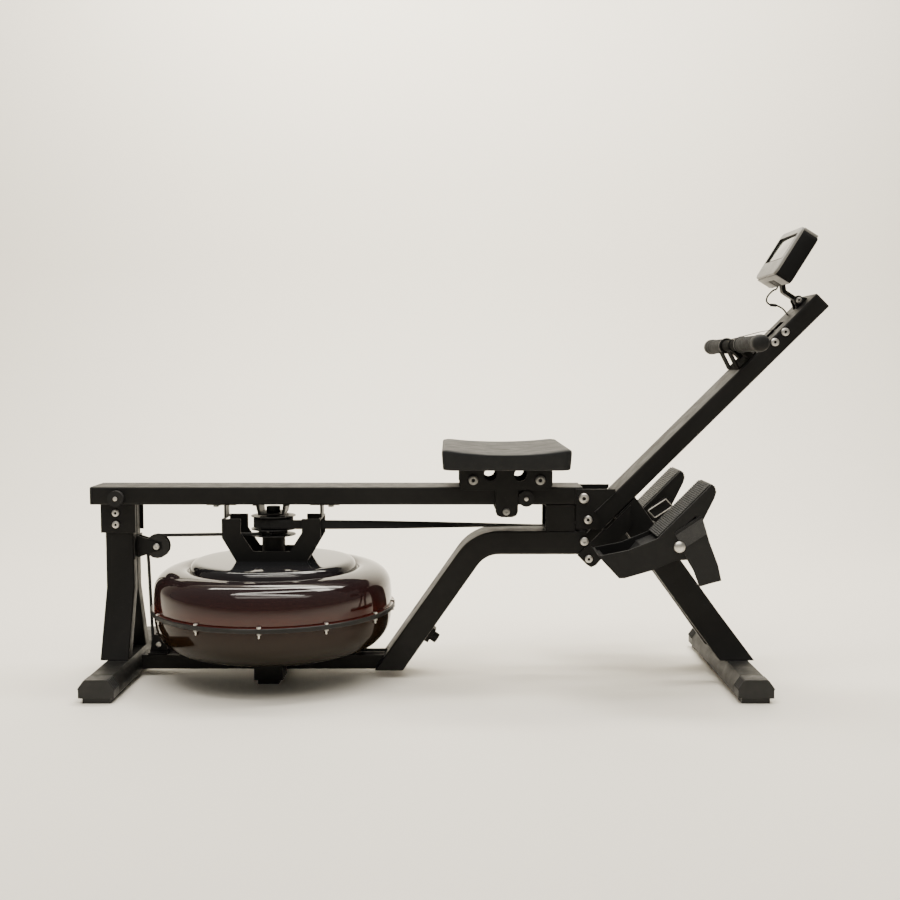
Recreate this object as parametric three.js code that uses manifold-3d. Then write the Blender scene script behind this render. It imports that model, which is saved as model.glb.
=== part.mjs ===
// Water resistance rowing machine, in millimetres, +Z up, +X towards the footrest, origin on the floor.
import * as THREE from "three";
import { mergeVertices, toCreasedNormals } from "three/addons/utils/BufferGeometryUtils.js";
import Module from "manifold-3d";

const wasm = await Module();
wasm.setup();

// Clearances and facet counts
const gap = 0.3;
const overrun = 20;
const roundSides = 16;
const boltSides = 8;
const tankBoltSides = 6;
const tankSides = 36;
const spoolSides = 24;
const creaseAngle = 0.6;

// Seat rail
const railRearX = -779;
const railFrontX = 265;
const railTopZ = 412;
const railWidth = 100;
const railHeight = 38;
const railWall = 2;
const railCapThickness = 3;
const railCapPlug = 18;
const saddleRearX = -762;
const saddleLength = 74;
const saddleThickness = 3.4;
const saddleDepth = 62;
const saddleBoltX = -729;
const saddleBoltDrop = 19;
const saddleBoltPitch = 25;
const saddleBoltRadius = 7.5;
const saddleBoltHead = 3.2;

// Rubber stops on the rail
const stopRadius = 17;
const stopThickness = 11.5;
const stopShankRadius = 4;
const stopDrop = 24;
const frontStopX = 145;
const rearStopX = -722;

// Rear legs
const rearLegX = -724;
const rearLegLength = 60;
const rearLegWidth = 30;
const rearLegWall = 2;
const rearLegBendZ = 190;
const rearLegSplay = 70;
const tubeCorner = 4;

// Foot bars, caps and pads
const footBarWidth = 71;
const footBarTopZ = 48;
const footBarBottomZ = 11;
const footBarEdgeZ = 29;
const footBarTopShare = 0.62;
const footBarWall = 2.5;
const footHalfLength = 238;
const footCapLength = 40;
const footPadLength = 30;
const footPadWidth = 56;
const footRibCount = 5;
const footRibDepth = 1.5;
const footRibWidth = 2.4;
const rearFootX = -716.5;
const frontFootX = 590;

// Base tube and the cross support under the tank
const baseWidth = 60;
const baseTopZ = 46;
const baseBottomZ = 16;
const baseWall = 2;
const crossLength = 60;
const crossHalfWidth = 92;
const crossTopZ = 34;
const crossBottomZ = 8;
const crossPadLength = 44;
const crossPadWidth = 34;
const cradleTopZ = 74;
const cradleInner = 42;

// Bent main tube
const mainHeight = 50;
const mainWall = 2.5;
const bendX = 88;
const bendRadius = 80;
const bendAngle = 55;
const bendSteps = 8;
const mainTopZ = 318;
const mainFrontX = 274;
const mainBottomZ = 17;
const cordHoleRadius = 7;
const anchorZ = 90;
const anchorLength = 34;
const anchorDepth = 12;
const anchorWidth = 30;
const knobRadius = 11;
const knobHeight = 14;

// Neck box between rail and main tube
const neckRearX = 187;
const neckFrontX = 249;
const neckWall = 2.5;

// Upper bracket plates, their bolts and the strap roller at the junction
const plateThickness = 4;
const upperPlateX = 250;
const upperPlateZ = 323.4;
const upperPlateLength = 84;
const upperPlateHeight = 84.6;
const upperPlateShares = [
  [0, 1], [1, 1], [1, 0.917], [0.464, 0.433], [0.595, 0.279], [0.595, 0], [0, 0],
];
const railBoltX = 266.6;
const railBoltZ = 388.8;
const railBoltRadius = 10.5;
const junctionX = 275.9;
const junctionZ = 343.2;
const junctionRadius = 18;
const junctionWidth = 28;
const junctionBoltRadius = 8.5;
const junctionAxleRadius = 5;
const boltHeadHeight = 5;

// Arm tube, at 45 degrees
const armFootX = 279.3;
const armFootZ = 320;
const armAngle = 45;
const armLength = 686.6;
const armWidth = 100;
const armHeight = 38;
const armWall = 2;
const armCutZ = 321;
const armCapThickness = 3;
const armCapPlug = 16;
const slotStart = armLength - 146.6;
const slotEnd = armLength - 80.6;
const slotHalfWidth = 14.5;
const armRollerRadius = 7.5;
const armRollerLowRadius = 7;
const armRollerWidth = 24;
const armRollerLowU = armLength - 132.9;
const armRollerHighU = armLength - 102.6;
const armRollerN = 8.3;
const armAxleRadius = 3.5;
const armBoltRadius = 8;
const armBoltHead = 3;
const wireHoleU = armLength - 58.6;

// Monitor ears on the arm
const earU = armLength - 27.5;
const earN = 29.5;
const earRadius = 10.5;
const earThickness = 3;
const earFootLength = 34;
const earAxleRadius = 3.5;
const earBoltRadius = 7;

// Front legs with the lower plates and pedal lugs
const legRearTopX = 355;
const legTopZ = 320;
const legRearBottomX = 553;
const legLengthX = 73;
const legWidth = 30;
const legWall = 2.5;
const legInnerTopY = 21;
const legCreaseZ = 140;
const legSplay = 35;
const lowerPlateX = 251;
const lowerPlateZ = 241;
const lowerPlateLength = 118;
const lowerPlateHeight = 134;
const lowerPlateShares = [
  [0, 0.582], [0, 0.221], [0.19, 0.049], [0.275, 0], [0.364, 0.037], [0.436, 0.112],
  [0.932, 0.582], [1, 0.687], [0.983, 1], [0.551, 0.612], [0.263, 0.609],
];
const mainBoltX = 268.2;
const mainBoltZ = 297.1;
const mainBoltRadius = 8.5;
const lobeBoltX = 278.1;
const lobeBoltZ = 259.7;
const lobeBoltRadius = 7.75;

// Pedals on their axle
const pedalAxleX = 439;
const pedalAxleZ = 309.4;
const pedalAxleRadius = 8;
const pedalHubRadius = 15;
const pedalInnerY = 95;
const pedalWidth = 113;
const pedalLength = 233;
const pedalHeight = 188;
const pedalRim = 6;
const pedalRecess = 9;
const pedalUnderWall = 7;
const pedalShares = [
  [-0.695, -0.082], [-0.652, -0.151], [-0.511, -0.337], [-0.464, -0.337], [-0.227, -0.252],
  [-0.034, -0.146], [0.073, -0.14], [0.185, 0.243], [0.292, 0.514], [0.307, 0.575],
  [0.298, 0.622], [0.262, 0.65], [-0.185, 0.086], [-0.253, 0.051], [-0.429, -0.037],
  [-0.672, -0.098],
];
const pedalTreadShares = [
  [0.262, 0.65], [-0.185, 0.086], [-0.253, 0.051], [-0.429, -0.037], [-0.672, -0.098],
];
const pedalCupShares = [
  [-0.64, 0.06], [-0.62, -0.13], [-0.5, -0.29], [-0.47, -0.29], [-0.3, -0.03], [-0.3, 0.2],
];
const pedalPocketShares = [[0.02, -0.02], [0.1, -0.02], [0.16, 0.22], [0.1, 0.2]];
const treadRibCount = 9;
const treadRibHeight = 2.5;
const treadRibWidth = 4;
const strapSlotHeight = 4;
const strapThickness = 2.4;
const strapSlotStartShares = [-0.03, 0.13];
const strapSlotEndShares = [0.14, 0.32];
const footStrapShares = [
  [-0.041, 0.147], [0.185, 0.33], [0.253, 0.051], [0.33, -0.194], [0.361, -0.359],
  [0.172, -0.422], [0.12, -0.252], [0.069, -0.146],
];
const innerStrapShares = [
  [-0.073, 0.179], [0.116, 0.349], [0.197, 0.232], [0.017, 0.067],
];
const nutRadius = 11.5;
const nutHeight = 10;

// Tank, on its vertical axis
const tankX = -398;
const flangeRadius = 262;
const flangeBottomZ = 145.5;
const flangeTopZ = 156.5;
const flangeWall = 3.2;
const seamZ = 151;
const lipThickness = 3;
const flangeOverhang = 10.5;
const shellRadius = flangeRadius - flangeOverhang;
const shellWall = 3;
const tankBoltCount = 12;
const tankBoltRadius = 4.25;
const tankBoltHead = 5;
const tankBoltStart = -88;
const upperShellHeight = 99;
const upperShellShares = [
  [1, 0.05], [0.995, 0.48], [0.96, 0.68], [0.9, 0.795], [0.82, 0.845], [0.745, 0.83], [0.725, 0.765],
  [0.71, 0.765], [0.695, 0.89], [0.655, 0.98], [0.3, 1],
];
const upperInnerSkips = [2, 4, 5, 8];
const lowerShellDepth = 85;
const lowerShellShares = [
  [1, 0.06], [0.985, 0.42], [0.945, 0.7], [0.87, 0.9], [0.75, 1], [0.4, 1], [0.2, 0.94],
];

// Impeller and its shaft
const shaftRadius = 8;
const shaftTopZ = 362;
const shaftFootZ = 77;
const hubRadius = 16;
const hubBottomZ = 88;
const hubHeight = 96;
const bladeCount = 6;
const bladeRadius = 150;
const bladeHeight = 62;
const bladeThickness = 3;
const bladeRise = 12;

// Yoke under the rail with its hangers, and the two bearing housings
const yokeRearX = -501;
const yokeFrontX = -291;
const yokeHalfWidth = 47;
const yokeThickness = 4;
const yokeBottomZ = 250.3;
const yokeBarZ = 274;
const yokeTopZ = 343.5;
const yokeArm = 40;
const yokeChamferLength = 31;
const yokeChamferHeight = 53;
const yokeInnerChamferLength = 26;
const yokeInnerChamferHeight = 40;
const hangerHalfWidth = 20;
const hangerThickness = 4;
const hangerFlangeIn = 26;
const hangerFlangeOut = 38;
const hangerMouthZ = 340.4;
const lowerHousingRadius = 25;
const lowerHousingTopZ = 300;
const bearingHalfWidth = 36;
const bearingBaseLength = 78;
const bearingTopLength = 54;
const bearingBottomZ = 350;
const bearingThickness = 3.5;
const bearingHousingRadius = 15;
const bearingHousingBottomZ = 347.2;

// Spool, strap winding and cord winding
const spoolHubRadius = 11.2;
const spoolDrumRadius = 28;
const spoolFlangeRadius = 48;
const spoolFlangeThickness = 2;
const spoolTopZ = 346.5;
const spoolMiddleZ = 316.5;
const drumBottomZ = 303.5;
const strapWidth = 20;
const strapGauge = 1;
const strapMiddleZ = 331.5;
const windingCoreRadius = 39.6;
const windingOuterRadius = 43;
const windingTurns = 2;
const loopSteps = 24;
const cordRadius = 3.5;
const cordSides = 8;
const coilSides = 6;
const cordCoilRadius = 30;
const cordCoilPitch = 7.5;
const cordCoilTurns = 2;
const cordCoilZ = 309.5;

// Cord pulleys
const upperPulleyX = -649;
const upperPulleyZ = 279;
const upperPulleyCordRadius = 23;
const lowerPulleyX = -648;
const lowerPulleyZ = 65;
const lowerPulleyCordRadius = 15.2;
const pulleyRimHeight = 3.4;
const pulleySlack = 0.6;
const pulleyFloorShare = 0.8;
const pulleyHalfWidth = 7.5;
const pulleyPinRadius = 4;
const bracketThickness = 3;
const upperBracketHeight = 50;
const upperBracketReach = 54;
const lowerBracketReach = 21;
const lowerBracketTopZ = 86;
const lowerBracketFoot = 16;

// Seat
const padRearX = -34;
const padLength = 264;
const padWidth = 380;
const padBottomZ = 458;
const padHeight = 41;
const padDip = 7;
const padRingSides = 40;
const padPower = 4.2;
const padRingShares = [
  [0.93, 0], [0.985, 0.08], [1, 0.3], [0.995, 0.6], [0.975, 0.82], [0.935, 0.95], [0.87, 1],
  [0.7, 1], [0.5, 1], [0.28, 1], [0.1, 1],
];
const carriageRearX = 3;
const carriageFrontX = 200;
const carriageInnerY = 56;
const carriageWall = 4;
const carriageTopZ = 457.7;
const carriageBottomZ = 406;
const carriageTopThickness = 4;
const tabRearX = 80;
const tabWidth = 47.7;
const tabBottomZ = 349;
const tabCorner = 12;
const carriageHoleRadius = 13.5;
const carriageHoleShares = [0.335, 0.66];
const carriageHoleZ = 439;
const rollerRadius = 15.7;
const rollerHalfTrack = 47;
const rollerTread = 16;
const rollerAxleRadius = 5;
const rollerSleeveRadius = 9;
const rollerRearX = 33;
const rollerFrontX = 174;
const rollerBoltRadius = 10;
const rollerBoltHead = 5;
const lowRollerRadius = 13;
const lowRollerX = 103;
const lowRollerInnerY = 40;
const lowRollerWidth = 15;

// Handle, grips and handle strap
const handleU = armLength - 188.3;
const handleN = 56.1;
const handleBarRadius = 12.5;
const handleCoreRadius = 8;
const gripInnerY = 65;
const gripOuterY = 220;
const gripRadius = 16.5;
const gripEndLength = 50;
const handleRingRadius = 14;
const handleRingWidth = 5;
const handleRingY = 58;
const strapExitU = armLength - 130;
const strapExitN = 37.6;

// Cradle that carries the handle
const cradleRearU = armLength - 225.1;
const cradleLean = 18;
const cradleTipN = 60;
const cradleThickness = 3;
const cradleFootEndU = armLength - 174.6;
const cradleInnerY = 20;
const cradleOuterY = 50;
const cradleSeatLength = 12;
const cradleWebHalfWidth = 50;

// Monitor
const monitorPivotX = 691;
const monitorPivotZ = 850;
const monitorTilt = 31.5;
const monitorWidth = 150;
const monitorBottom = -13;
const monitorTop = 96;
const monitorRear = 4.6;
const monitorSplit = -24.3;
const monitorFront = -33;
const monitorCorner = 10;
const monitorNotchRadius = 11;
const monitorNotchHalfWidth = 10.4;
const screenMargin = 12;
const screenShare = 0.38;
const screenDepth = 1.6;
const linkHalfWidth = 9;
const linkRadius = 4.2;
const linkEyeRadius = 7.5;
const linkKneeX = 695;
const linkKneeZ = 826;
const wireRadius = 1.8;
const wireY = 14;
const wireFall = 60;
const wireShares = [
  [-0.117, -0.3], [-0.233, -0.35], [-0.417, -0.55], [-0.45, -0.733], [-0.317, -0.85], [-0.083, -0.883],
  [0.133, -1],
];

const up = new THREE.Vector3(0, 0, 1);
const across = new THREE.Vector3(0, 1, 0);
const radians = THREE.MathUtils.degToRad;

// Turns a closed geometry into a solid that can be joined and cut.
function solid(geometry) {
  const bare = geometry.clone();
  bare.deleteAttribute("normal");
  bare.deleteAttribute("uv");
  const merged = mergeVertices(bare);
  const index = merged.index.array;
  const kept = [];
  for (let i = 0; i < index.length; i += 3) {
    const [a, b, c] = [index[i], index[i + 1], index[i + 2]];
    if (a !== b && b !== c && c !== a) kept.push(a, b, c);
  }
  const make = (triangles) => new wasm.Manifold(new wasm.Mesh({
    numProp: 3,
    vertProperties: merged.attributes.position.array,
    triVerts: new Uint32Array(triangles),
  }));
  const made = make(kept);
  return made.volume() < 0 ? make(kept.reverse()) : made;
}

// Turns a finished solid into a named mesh with its own material.
function piece(name, body, color, roughness, metalness = 0, parent = group) {
  const raw = body.getMesh();
  const positions = new Float32Array(raw.numVert * 3);
  for (let i = 0; i < raw.numVert; i += 1) {
    const first = i * raw.numProp;
    positions.set(raw.vertProperties.subarray(first, first + 3), i * 3);
  }
  const geometry = new THREE.BufferGeometry();
  geometry.setAttribute("position", new THREE.BufferAttribute(positions, 3));
  geometry.setIndex(new THREE.BufferAttribute(new Uint32Array(raw.triVerts), 1));
  const material = new THREE.MeshStandardMaterial({ color, roughness, metalness });
  const mesh = new THREE.Mesh(toCreasedNormals(geometry, creaseAngle), material);
  mesh.name = name;
  parent.add(mesh);
  return mesh;
}

const join = (...bodies) => bodies.reduce((sum, body) => sum.add(body));
const cut = (body, ...tools) => tools.reduce((rest, tool) => rest.subtract(tool), body);
const moved = (body, x, y, z) => body.translate([x, y, z]);
const mirrored = (body) => body.mirror([0, 1, 0]);

function flat(points, depth) {
  const shape = new THREE.Shape(points.map(([a, b]) => new THREE.Vector2(a, b)));
  return new THREE.ExtrudeGeometry(shape, { depth, bevelEnabled: false });
}

// An outline of [x, z] points, extruded from one y to another.
function sideways(points, fromY, toY) {
  const geometry = flat(points, toY - fromY).rotateX(Math.PI / 2);
  return solid(geometry.translate(0, toY, 0));
}

// An outline of [y, z] points, extruded from one x to another.
function lengthways(points, fromX, toX) {
  const basis = new THREE.Matrix4().makeBasis(across, up, new THREE.Vector3(1, 0, 0));
  return solid(flat(points, toX - fromX).applyMatrix4(basis).translate(fromX, 0, 0));
}

const rectangle = (a, b, c, d) => [[a, c], [b, c], [b, d], [a, d]];
const block = (x0, x1, y0, y1, z0, z1) => sideways(rectangle(x0, x1, z0, z1), y0, y1);

function roundedRectangle(a, b, c, d, radius, steps = 2) {
  const corners = [[b, d, 0], [a, d, 90], [a, c, 180], [b, c, 270]];
  const points = [];
  for (const [x, z, start] of corners) {
    const centreX = x === b ? x - radius : x + radius;
    const centreZ = z === d ? z - radius : z + radius;
    for (let i = 0; i <= steps; i += 1) {
      const angle = radians(start + (90 * i) / steps);
      points.push([centreX + radius * Math.cos(angle), centreZ + radius * Math.sin(angle)]);
    }
  }
  return points;
}

// A turned body from [radius, height] points, standing on z.
function turned(profile, sides = roundSides) {
  const points = profile.map(([radius, height]) => new THREE.Vector2(radius, height));
  return solid(new THREE.LatheGeometry(points, sides).rotateX(Math.PI / 2));
}

const disc = (radius, z0, z1, sides) => turned([[0, z0], [radius, z0], [radius, z1], [0, z1]], sides);
const ring = (inner, outer, z0, z1, sides) => turned(
  [[inner, z0], [outer, z0], [outer, z1], [inner, z1], [inner, z0]],
  sides,
);

// A body turned about z, laid along y with its middle at a place in the side view.
const along = (body, x, z) => moved(body.rotate([90, 0, 0]), x, 0, z);
const rod = (x, z, radius, fromY, toY, sides = boltSides) => along(
  disc(radius, -toY, -fromY, sides),
  x,
  z,
);
const rodPair = (x, z, radius, fromY, toY, sides) => join(
  rod(x, z, radius, fromY, toY, sides),
  rod(x, z, radius, -toY, -fromY, sides),
);

// A closed skin through rings of points that all have the same count.
function loft(rings) {
  const count = rings[0].length;
  const positions = rings.flat().flatMap((point) => [point.x, point.y, point.z]);
  const index = [];
  for (let r = 0; r + 1 < rings.length; r += 1) {
    for (let i = 0; i < count; i += 1) {
      const [a, b] = [r * count + i, r * count + ((i + 1) % count)];
      index.push(a, b, b + count, a, b + count, a + count);
    }
  }
  const last = (rings.length - 1) * count;
  for (let i = 1; i + 1 < count; i += 1) {
    index.push(0, i + 1, i, last, last + i, last + i + 1);
  }
  const geometry = new THREE.BufferGeometry();
  geometry.setAttribute("position", new THREE.Float32BufferAttribute(positions, 3));
  geometry.setIndex(index);
  return solid(geometry);
}

// A straight or bent bar with one section, mitred at its corners. The section's first axis is side.
function swept(path, section, side) {
  const rings = path.map((point, i) => {
    const before = path[Math.max(i - 1, 0)];
    const after = path[Math.min(i + 1, path.length - 1)];
    const inward = (i ? point.clone().sub(before) : after.clone().sub(point)).normalize();
    const outward = (i + 1 < path.length ? after.clone().sub(point) : inward.clone()).normalize();
    const tangent = inward.clone().add(outward).normalize();
    const rise = new THREE.Vector3().crossVectors(side, tangent).normalize();
    const stretch = 1 / Math.max(tangent.dot(inward), 0.2);
    return section.map(([a, b]) => point.clone()
      .addScaledVector(side, a)
      .addScaledVector(rise, b * stretch));
  });
  return loft(rings);
}

// A round tube through given points, with its ends square to the path.
function roundTube(path, radius, sides) {
  let rise = up.clone();
  const rings = path.map((point, i) => {
    const before = path[Math.max(i - 1, 0)];
    const after = path[Math.min(i + 1, path.length - 1)];
    const tangent = after.clone().sub(before).normalize();
    rise = rise.addScaledVector(tangent, -rise.dot(tangent)).normalize();
    const side = new THREE.Vector3().crossVectors(rise, tangent);
    const circle = [];
    for (let k = 0; k < sides; k += 1) {
      const angle = (2 * Math.PI * k) / sides;
      circle.push(point.clone()
        .addScaledVector(side, radius * Math.cos(angle))
        .addScaledVector(rise, radius * Math.sin(angle)));
    }
    return circle;
  });
  return loft(rings);
}

const placed = (shares, x, z, length, height) => shares.map(([a, b]) => [x + a * length, z + b * height]);

const group = new THREE.Group();
const seatGroup = new THREE.Group();
const armGroup = new THREE.Group();
const monitorGroup = new THREE.Group();
const tankGroup = new THREE.Group();
const pedalGroup = new THREE.Group();
group.add(seatGroup, armGroup, monitorGroup, tankGroup, pedalGroup);
armGroup.position.set(armFootX, 0, armFootZ);
armGroup.rotation.y = -radians(armAngle);
monitorGroup.position.set(monitorPivotX, 0, monitorPivotZ);
monitorGroup.rotation.y = radians(monitorTilt);
tankGroup.position.x = tankX;
pedalGroup.position.set(pedalAxleX, 0, pedalAxleZ);

const paint = 0x202022;
const paintDark = 0x19191b;
const plastic = 0x1c1c1e;
const rubber = 0x232325;
const zinc = 0xa8abad;
const ringBlack = 0x17171a;
const smoke = 0x3b2f31;
const olive = 0x2f2a22;
const ivory = 0xb9b5a8;
const cloth = 0x2e2f33;

// Seat rail: a hollow tube with the rear saddle under it
const railHalf = railWidth / 2;
const railBottomZ = railTopZ - railHeight;
const railStartX = railRearX + railCapThickness + gap;
const saddleInner = rearLegWidth + gap;
const saddleOuter = saddleInner + saddleThickness;
const saddleEndX = saddleRearX + saddleLength;
const stopZ = railTopZ - stopDrop;
const railSection = roundedRectangle(-railHalf, railHalf, railBottomZ, railTopZ, tubeCorner);
const railBore = rectangle(
  -railHalf + railWall,
  railHalf - railWall,
  railBottomZ + railWall,
  railTopZ - railWall,
);
const saddleSide = block(
  saddleRearX, saddleEndX, saddleInner, saddleOuter, railBottomZ - saddleDepth, railBottomZ
    + railWall / 2,
);
const saddleBolts = [0, 1].map((i) => rodPair(
  saddleBoltX,
  railBottomZ - saddleBoltDrop - i * saddleBoltPitch,
  saddleBoltRadius,
  saddleOuter - saddleThickness / 2,
  saddleOuter + saddleBoltHead,
));
const stopHoles = [frontStopX, rearStopX].map((x) => rod(
  x, stopZ, stopShankRadius + gap, -railHalf - overrun, railHalf + overrun,
));
const railTube = cut(
  lengthways(railSection, railStartX, railFrontX),
  lengthways(railBore, railStartX - overrun, railFrontX + overrun),
);
piece(
  "seat_rail",
  cut(join(railTube, saddleSide, mirrored(saddleSide), ...saddleBolts), ...stopHoles),
  paint, 0.4, 0.3,
);
const capPlugHalf = railHalf - railWall - gap;
piece(
  "rail_end_cap",
  join(
    lengthways(railSection, railRearX, railRearX + railCapThickness),
    block(
      railRearX + railCapThickness / 2, railStartX + railCapPlug, -capPlugHalf, capPlugHalf,
      railBottomZ + railWall + gap, railTopZ - railWall - gap,
    ),
  ),
  plastic, 0.6,
);

// Rubber stops, each a pair of discs on one shank through the rail
for (const [name, x] of [["rear_stop", rearStopX], ["front_stop", frontStopX]]) {
  const inner = railHalf + gap;
  const washer = rodPair(x, stopZ, stopRadius, inner, inner + stopThickness, roundSides);
  const screw = rodPair(x, stopZ, stopShankRadius, inner, inner + stopThickness + gap);
  piece(name, join(washer, screw, rod(x, stopZ, stopShankRadius, -inner - gap, inner + gap)), rubber,
    0.8);
}

// Rear legs, side by side at the top and splayed below the bend
const footTop = footBarTopZ + gap;
const rearLegTopZ = railBottomZ - gap;
function rearLeg(width, length, extra) {
  const section = roundedRectangle(-length / 2, length / 2, -width / 2, width / 2,
    extra ? tubeCorner / 2 : tubeCorner);
  const y = rearLegWidth / 2 + gap / 2;
  const path = [
    new THREE.Vector3(rearLegX, y, rearLegTopZ + extra),
    new THREE.Vector3(rearLegX, y, rearLegBendZ),
    new THREE.Vector3(rearLegX, rearLegSplay, footTop),
  ];
  const fall = path[2].clone().sub(path[1]).normalize();
  path[2].addScaledVector(fall, overrun);
  return swept(path, section, new THREE.Vector3(1, 0, 0));
}
const footClip = block(
  rearLegX - rearLegLength, rearLegX + rearLegLength, -footHalfLength, footHalfLength, footTop - 2
    * overrun, footTop,
);
const rearLegBody = cut(
  rearLeg(rearLegWidth - gap, rearLegLength, 0),
  rearLeg(rearLegWidth - gap - 2 * rearLegWall, rearLegLength - 2 * rearLegWall, overrun),
  footClip,
);
piece("rear_leg_left", rearLegBody, paint, 0.4, 0.3);
piece("rear_leg_right", mirrored(rearLegBody), paint, 0.4, 0.3);

// Foot bars with ribbed end caps and level pads
function footSection(x, inset) {
  const half = footBarWidth / 2 - inset;
  const topHalf = half * footBarTopShare;
  return [
    [x - half, footBarBottomZ + inset], [x + half, footBarBottomZ + inset],
    [x + half, footBarEdgeZ - inset / 2], [x + topHalf, footBarTopZ - inset],
    [x - topHalf, footBarTopZ - inset], [x - half, footBarEdgeZ - inset / 2],
  ];
}
const capStartY = footHalfLength - footCapLength;
for (const [label, x] of [["rear", rearFootX], ["front", frontFootX]]) {
  const barEnd = capStartY - gap;
  const bar = cut(
    sideways(footSection(x, 0), -barEnd, barEnd),
    sideways(footSection(x, footBarWall), -barEnd - overrun, barEnd + overrun),
  );
  piece(label + "_foot_bar", bar, paint, 0.4, 0.3);
  const chamfered = sideways(footSection(x, 0), capStartY, footHalfLength - footRibDepth);
  const ribs = [];
  for (let i = 0; i < footRibCount; i += 1) {
    const y = capStartY + (footCapLength * (i + 1 / 2)) / footRibCount;
    const ribSection = footSection(x, -footRibDepth);
    ribs.push(sideways(ribSection, y - footRibWidth / 2, y + footRibWidth / 2));
  }
  const ribClip = block(
    x - footBarWidth, x + footBarWidth, capStartY, footHalfLength,
    footBarEdgeZ - footRibDepth, footBarTopZ - footRibDepth,
  );
  const padY = footHalfLength - footCapLength / 2 - footPadLength / 2;
  const pad = block(x - footPadWidth / 2, x + footPadWidth / 2, padY, padY + footPadLength, 0,
    footBarBottomZ + footRibDepth);
  const slopeRibs = join(...ribs).intersect(ribClip);
  const plug = sideways(footSection(x, footBarWall + gap), capStartY - footCapLength / 2,
    capStartY + footRibWidth);
  const cap = join(chamfered, slopeRibs, pad, plug);
  piece(label + "_foot_cap_left", cap, plastic, 0.6);
  piece(label + "_foot_cap_right", mirrored(cap), plastic, 0.6);
}

// Base tube with the cross support and its tank cradles
const mainRadians = radians(bendAngle);
const fallX = Math.sin(mainRadians);
const fallZ = Math.cos(mainRadians);
const bendZ = mainTopZ - mainHeight / 2 - bendRadius;
const mainDown = new THREE.Vector3(-fallZ, 0, -fallX);
const bendEnd = new THREE.Vector3(bendX - bendRadius * fallX, 0, bendZ + bendRadius * fallZ);
const rearFace = (z) => bendEnd.x + ((z - bendEnd.z) * fallZ) / fallX - mainHeight / 2 / fallX;
const frontFace = (z) => rearFace(z) + mainHeight / fallX;
const baseStartX = rearFootX + footBarWidth / 2 + gap;
const baseHalf = baseWidth / 2;
const baseEnd = (z) => rearFace(z) - gap / fallX;
const baseOutline = [
  [baseStartX, baseBottomZ], [baseEnd(baseBottomZ), baseBottomZ], [baseEnd(baseTopZ),
    baseTopZ], [baseStartX, baseTopZ],
];
const baseBoreTop = baseTopZ - baseWall;
const baseBoreBottom = baseBottomZ + baseWall;
const baseBore = block(
  baseStartX - overrun, mainFrontX, -baseHalf
    + baseWall, baseHalf - baseWall, baseBoreBottom, baseBoreTop,
);
const crossHalfLength = crossLength / 2;
const crossBody = block(
  tankX - crossHalfLength, tankX
    + crossHalfLength, baseHalf - baseWall / 2, crossHalfWidth, crossBottomZ, crossTopZ,
);
const crossPad = block(
  tankX - crossPadLength / 2, tankX
    + crossPadLength / 2, crossHalfWidth - crossPadWidth, crossHalfWidth, 0, crossTopZ,
);
const cradlePost = block(
  tankX - crossHalfLength, tankX
    + crossHalfLength, cradleInner, crossHalfWidth, crossTopZ - baseWall, cradleTopZ,
);
const tankProfile = (inset) => [
  ...lowerShellShares.map(([a, b]) => [a * shellRadius - inset, seamZ - b * lowerShellDepth + inset]),
];
const lowerOuter = tankProfile(0);
const bowlCut = moved(
  turned([[0, seamZ], ...lowerOuter.map(([r, z]) => [r + gap, z - gap]), [0,
    lowerOuter.at(-1)[1] - gap]], tankSides),
  tankX, 0, 0,
);
const halfCross = cut(join(crossBody, crossPad, cradlePost), bowlCut);
piece(
  "base_tube",
  join(
    cut(sideways(baseOutline, -baseHalf, baseHalf), baseBore),
    halfCross,
    mirrored(halfCross),
  ),
  paint, 0.4, 0.3,
);

// Bent main tube with the cord anchor
function mainBody(inset, extra) {
  const path = [new THREE.Vector3(mainFrontX + extra, 0, mainTopZ - mainHeight / 2)];
  for (let i = 0; i <= bendSteps; i += 1) {
    const angle = Math.PI / 2 + (mainRadians * i) / bendSteps;
    path.push(new THREE.Vector3(bendX + bendRadius * Math.cos(angle), 0,
      bendZ + bendRadius * Math.sin(angle)));
  }
  const reach = (bendEnd.z - mainBottomZ) / fallX;
  path.push(bendEnd.clone().addScaledVector(mainDown, reach + overrun + extra));
  const [w, h] = [railHalf - inset, mainHeight / 2 - inset];
  const corner = inset ? tubeCorner - mainWall : tubeCorner;
  return swept(path, roundedRectangle(-w, w, -h, h, corner, 2), across);
}
const floorClip = block(
  rearFace(0) - overrun * 2, bendX, -railHalf - overrun, railHalf + overrun, mainBottomZ - overrun
    * 4, mainBottomZ,
);
const cordZ = baseTopZ + gap + cordRadius;
const cordHole = lengthways(
  roundedRectangle(-cordHoleRadius, cordHoleRadius, cordZ - cordHoleRadius, cordZ + cordHoleRadius,
    cordHoleRadius, 4),
  rearFace(cordZ) - overrun, (rearFace(cordZ) + frontFace(cordZ)) / 2,
);
const anchorX = frontFace(anchorZ);
const anchorGroup = join(
  lengthways(rectangle(-anchorWidth / 2, anchorWidth / 2, -anchorLength / 2, anchorLength / 2),
    -mainWall, anchorDepth),
  disc(knobRadius, 0, knobHeight).rotate([0, 90, 0]).translate([anchorDepth, 0, 0]),
  disc(knobRadius / 2, 0, knobHeight).rotate([0, -90, 0]),
);
const anchor = moved(anchorGroup.rotate([0, 90 - bendAngle, 0]), anchorX, 0, anchorZ);
piece("main_tube", join(cut(mainBody(0, 0), mainBody(mainWall, overrun), floorClip, cordHole), anchor),
  paint, 0.4, 0.3);

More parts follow.
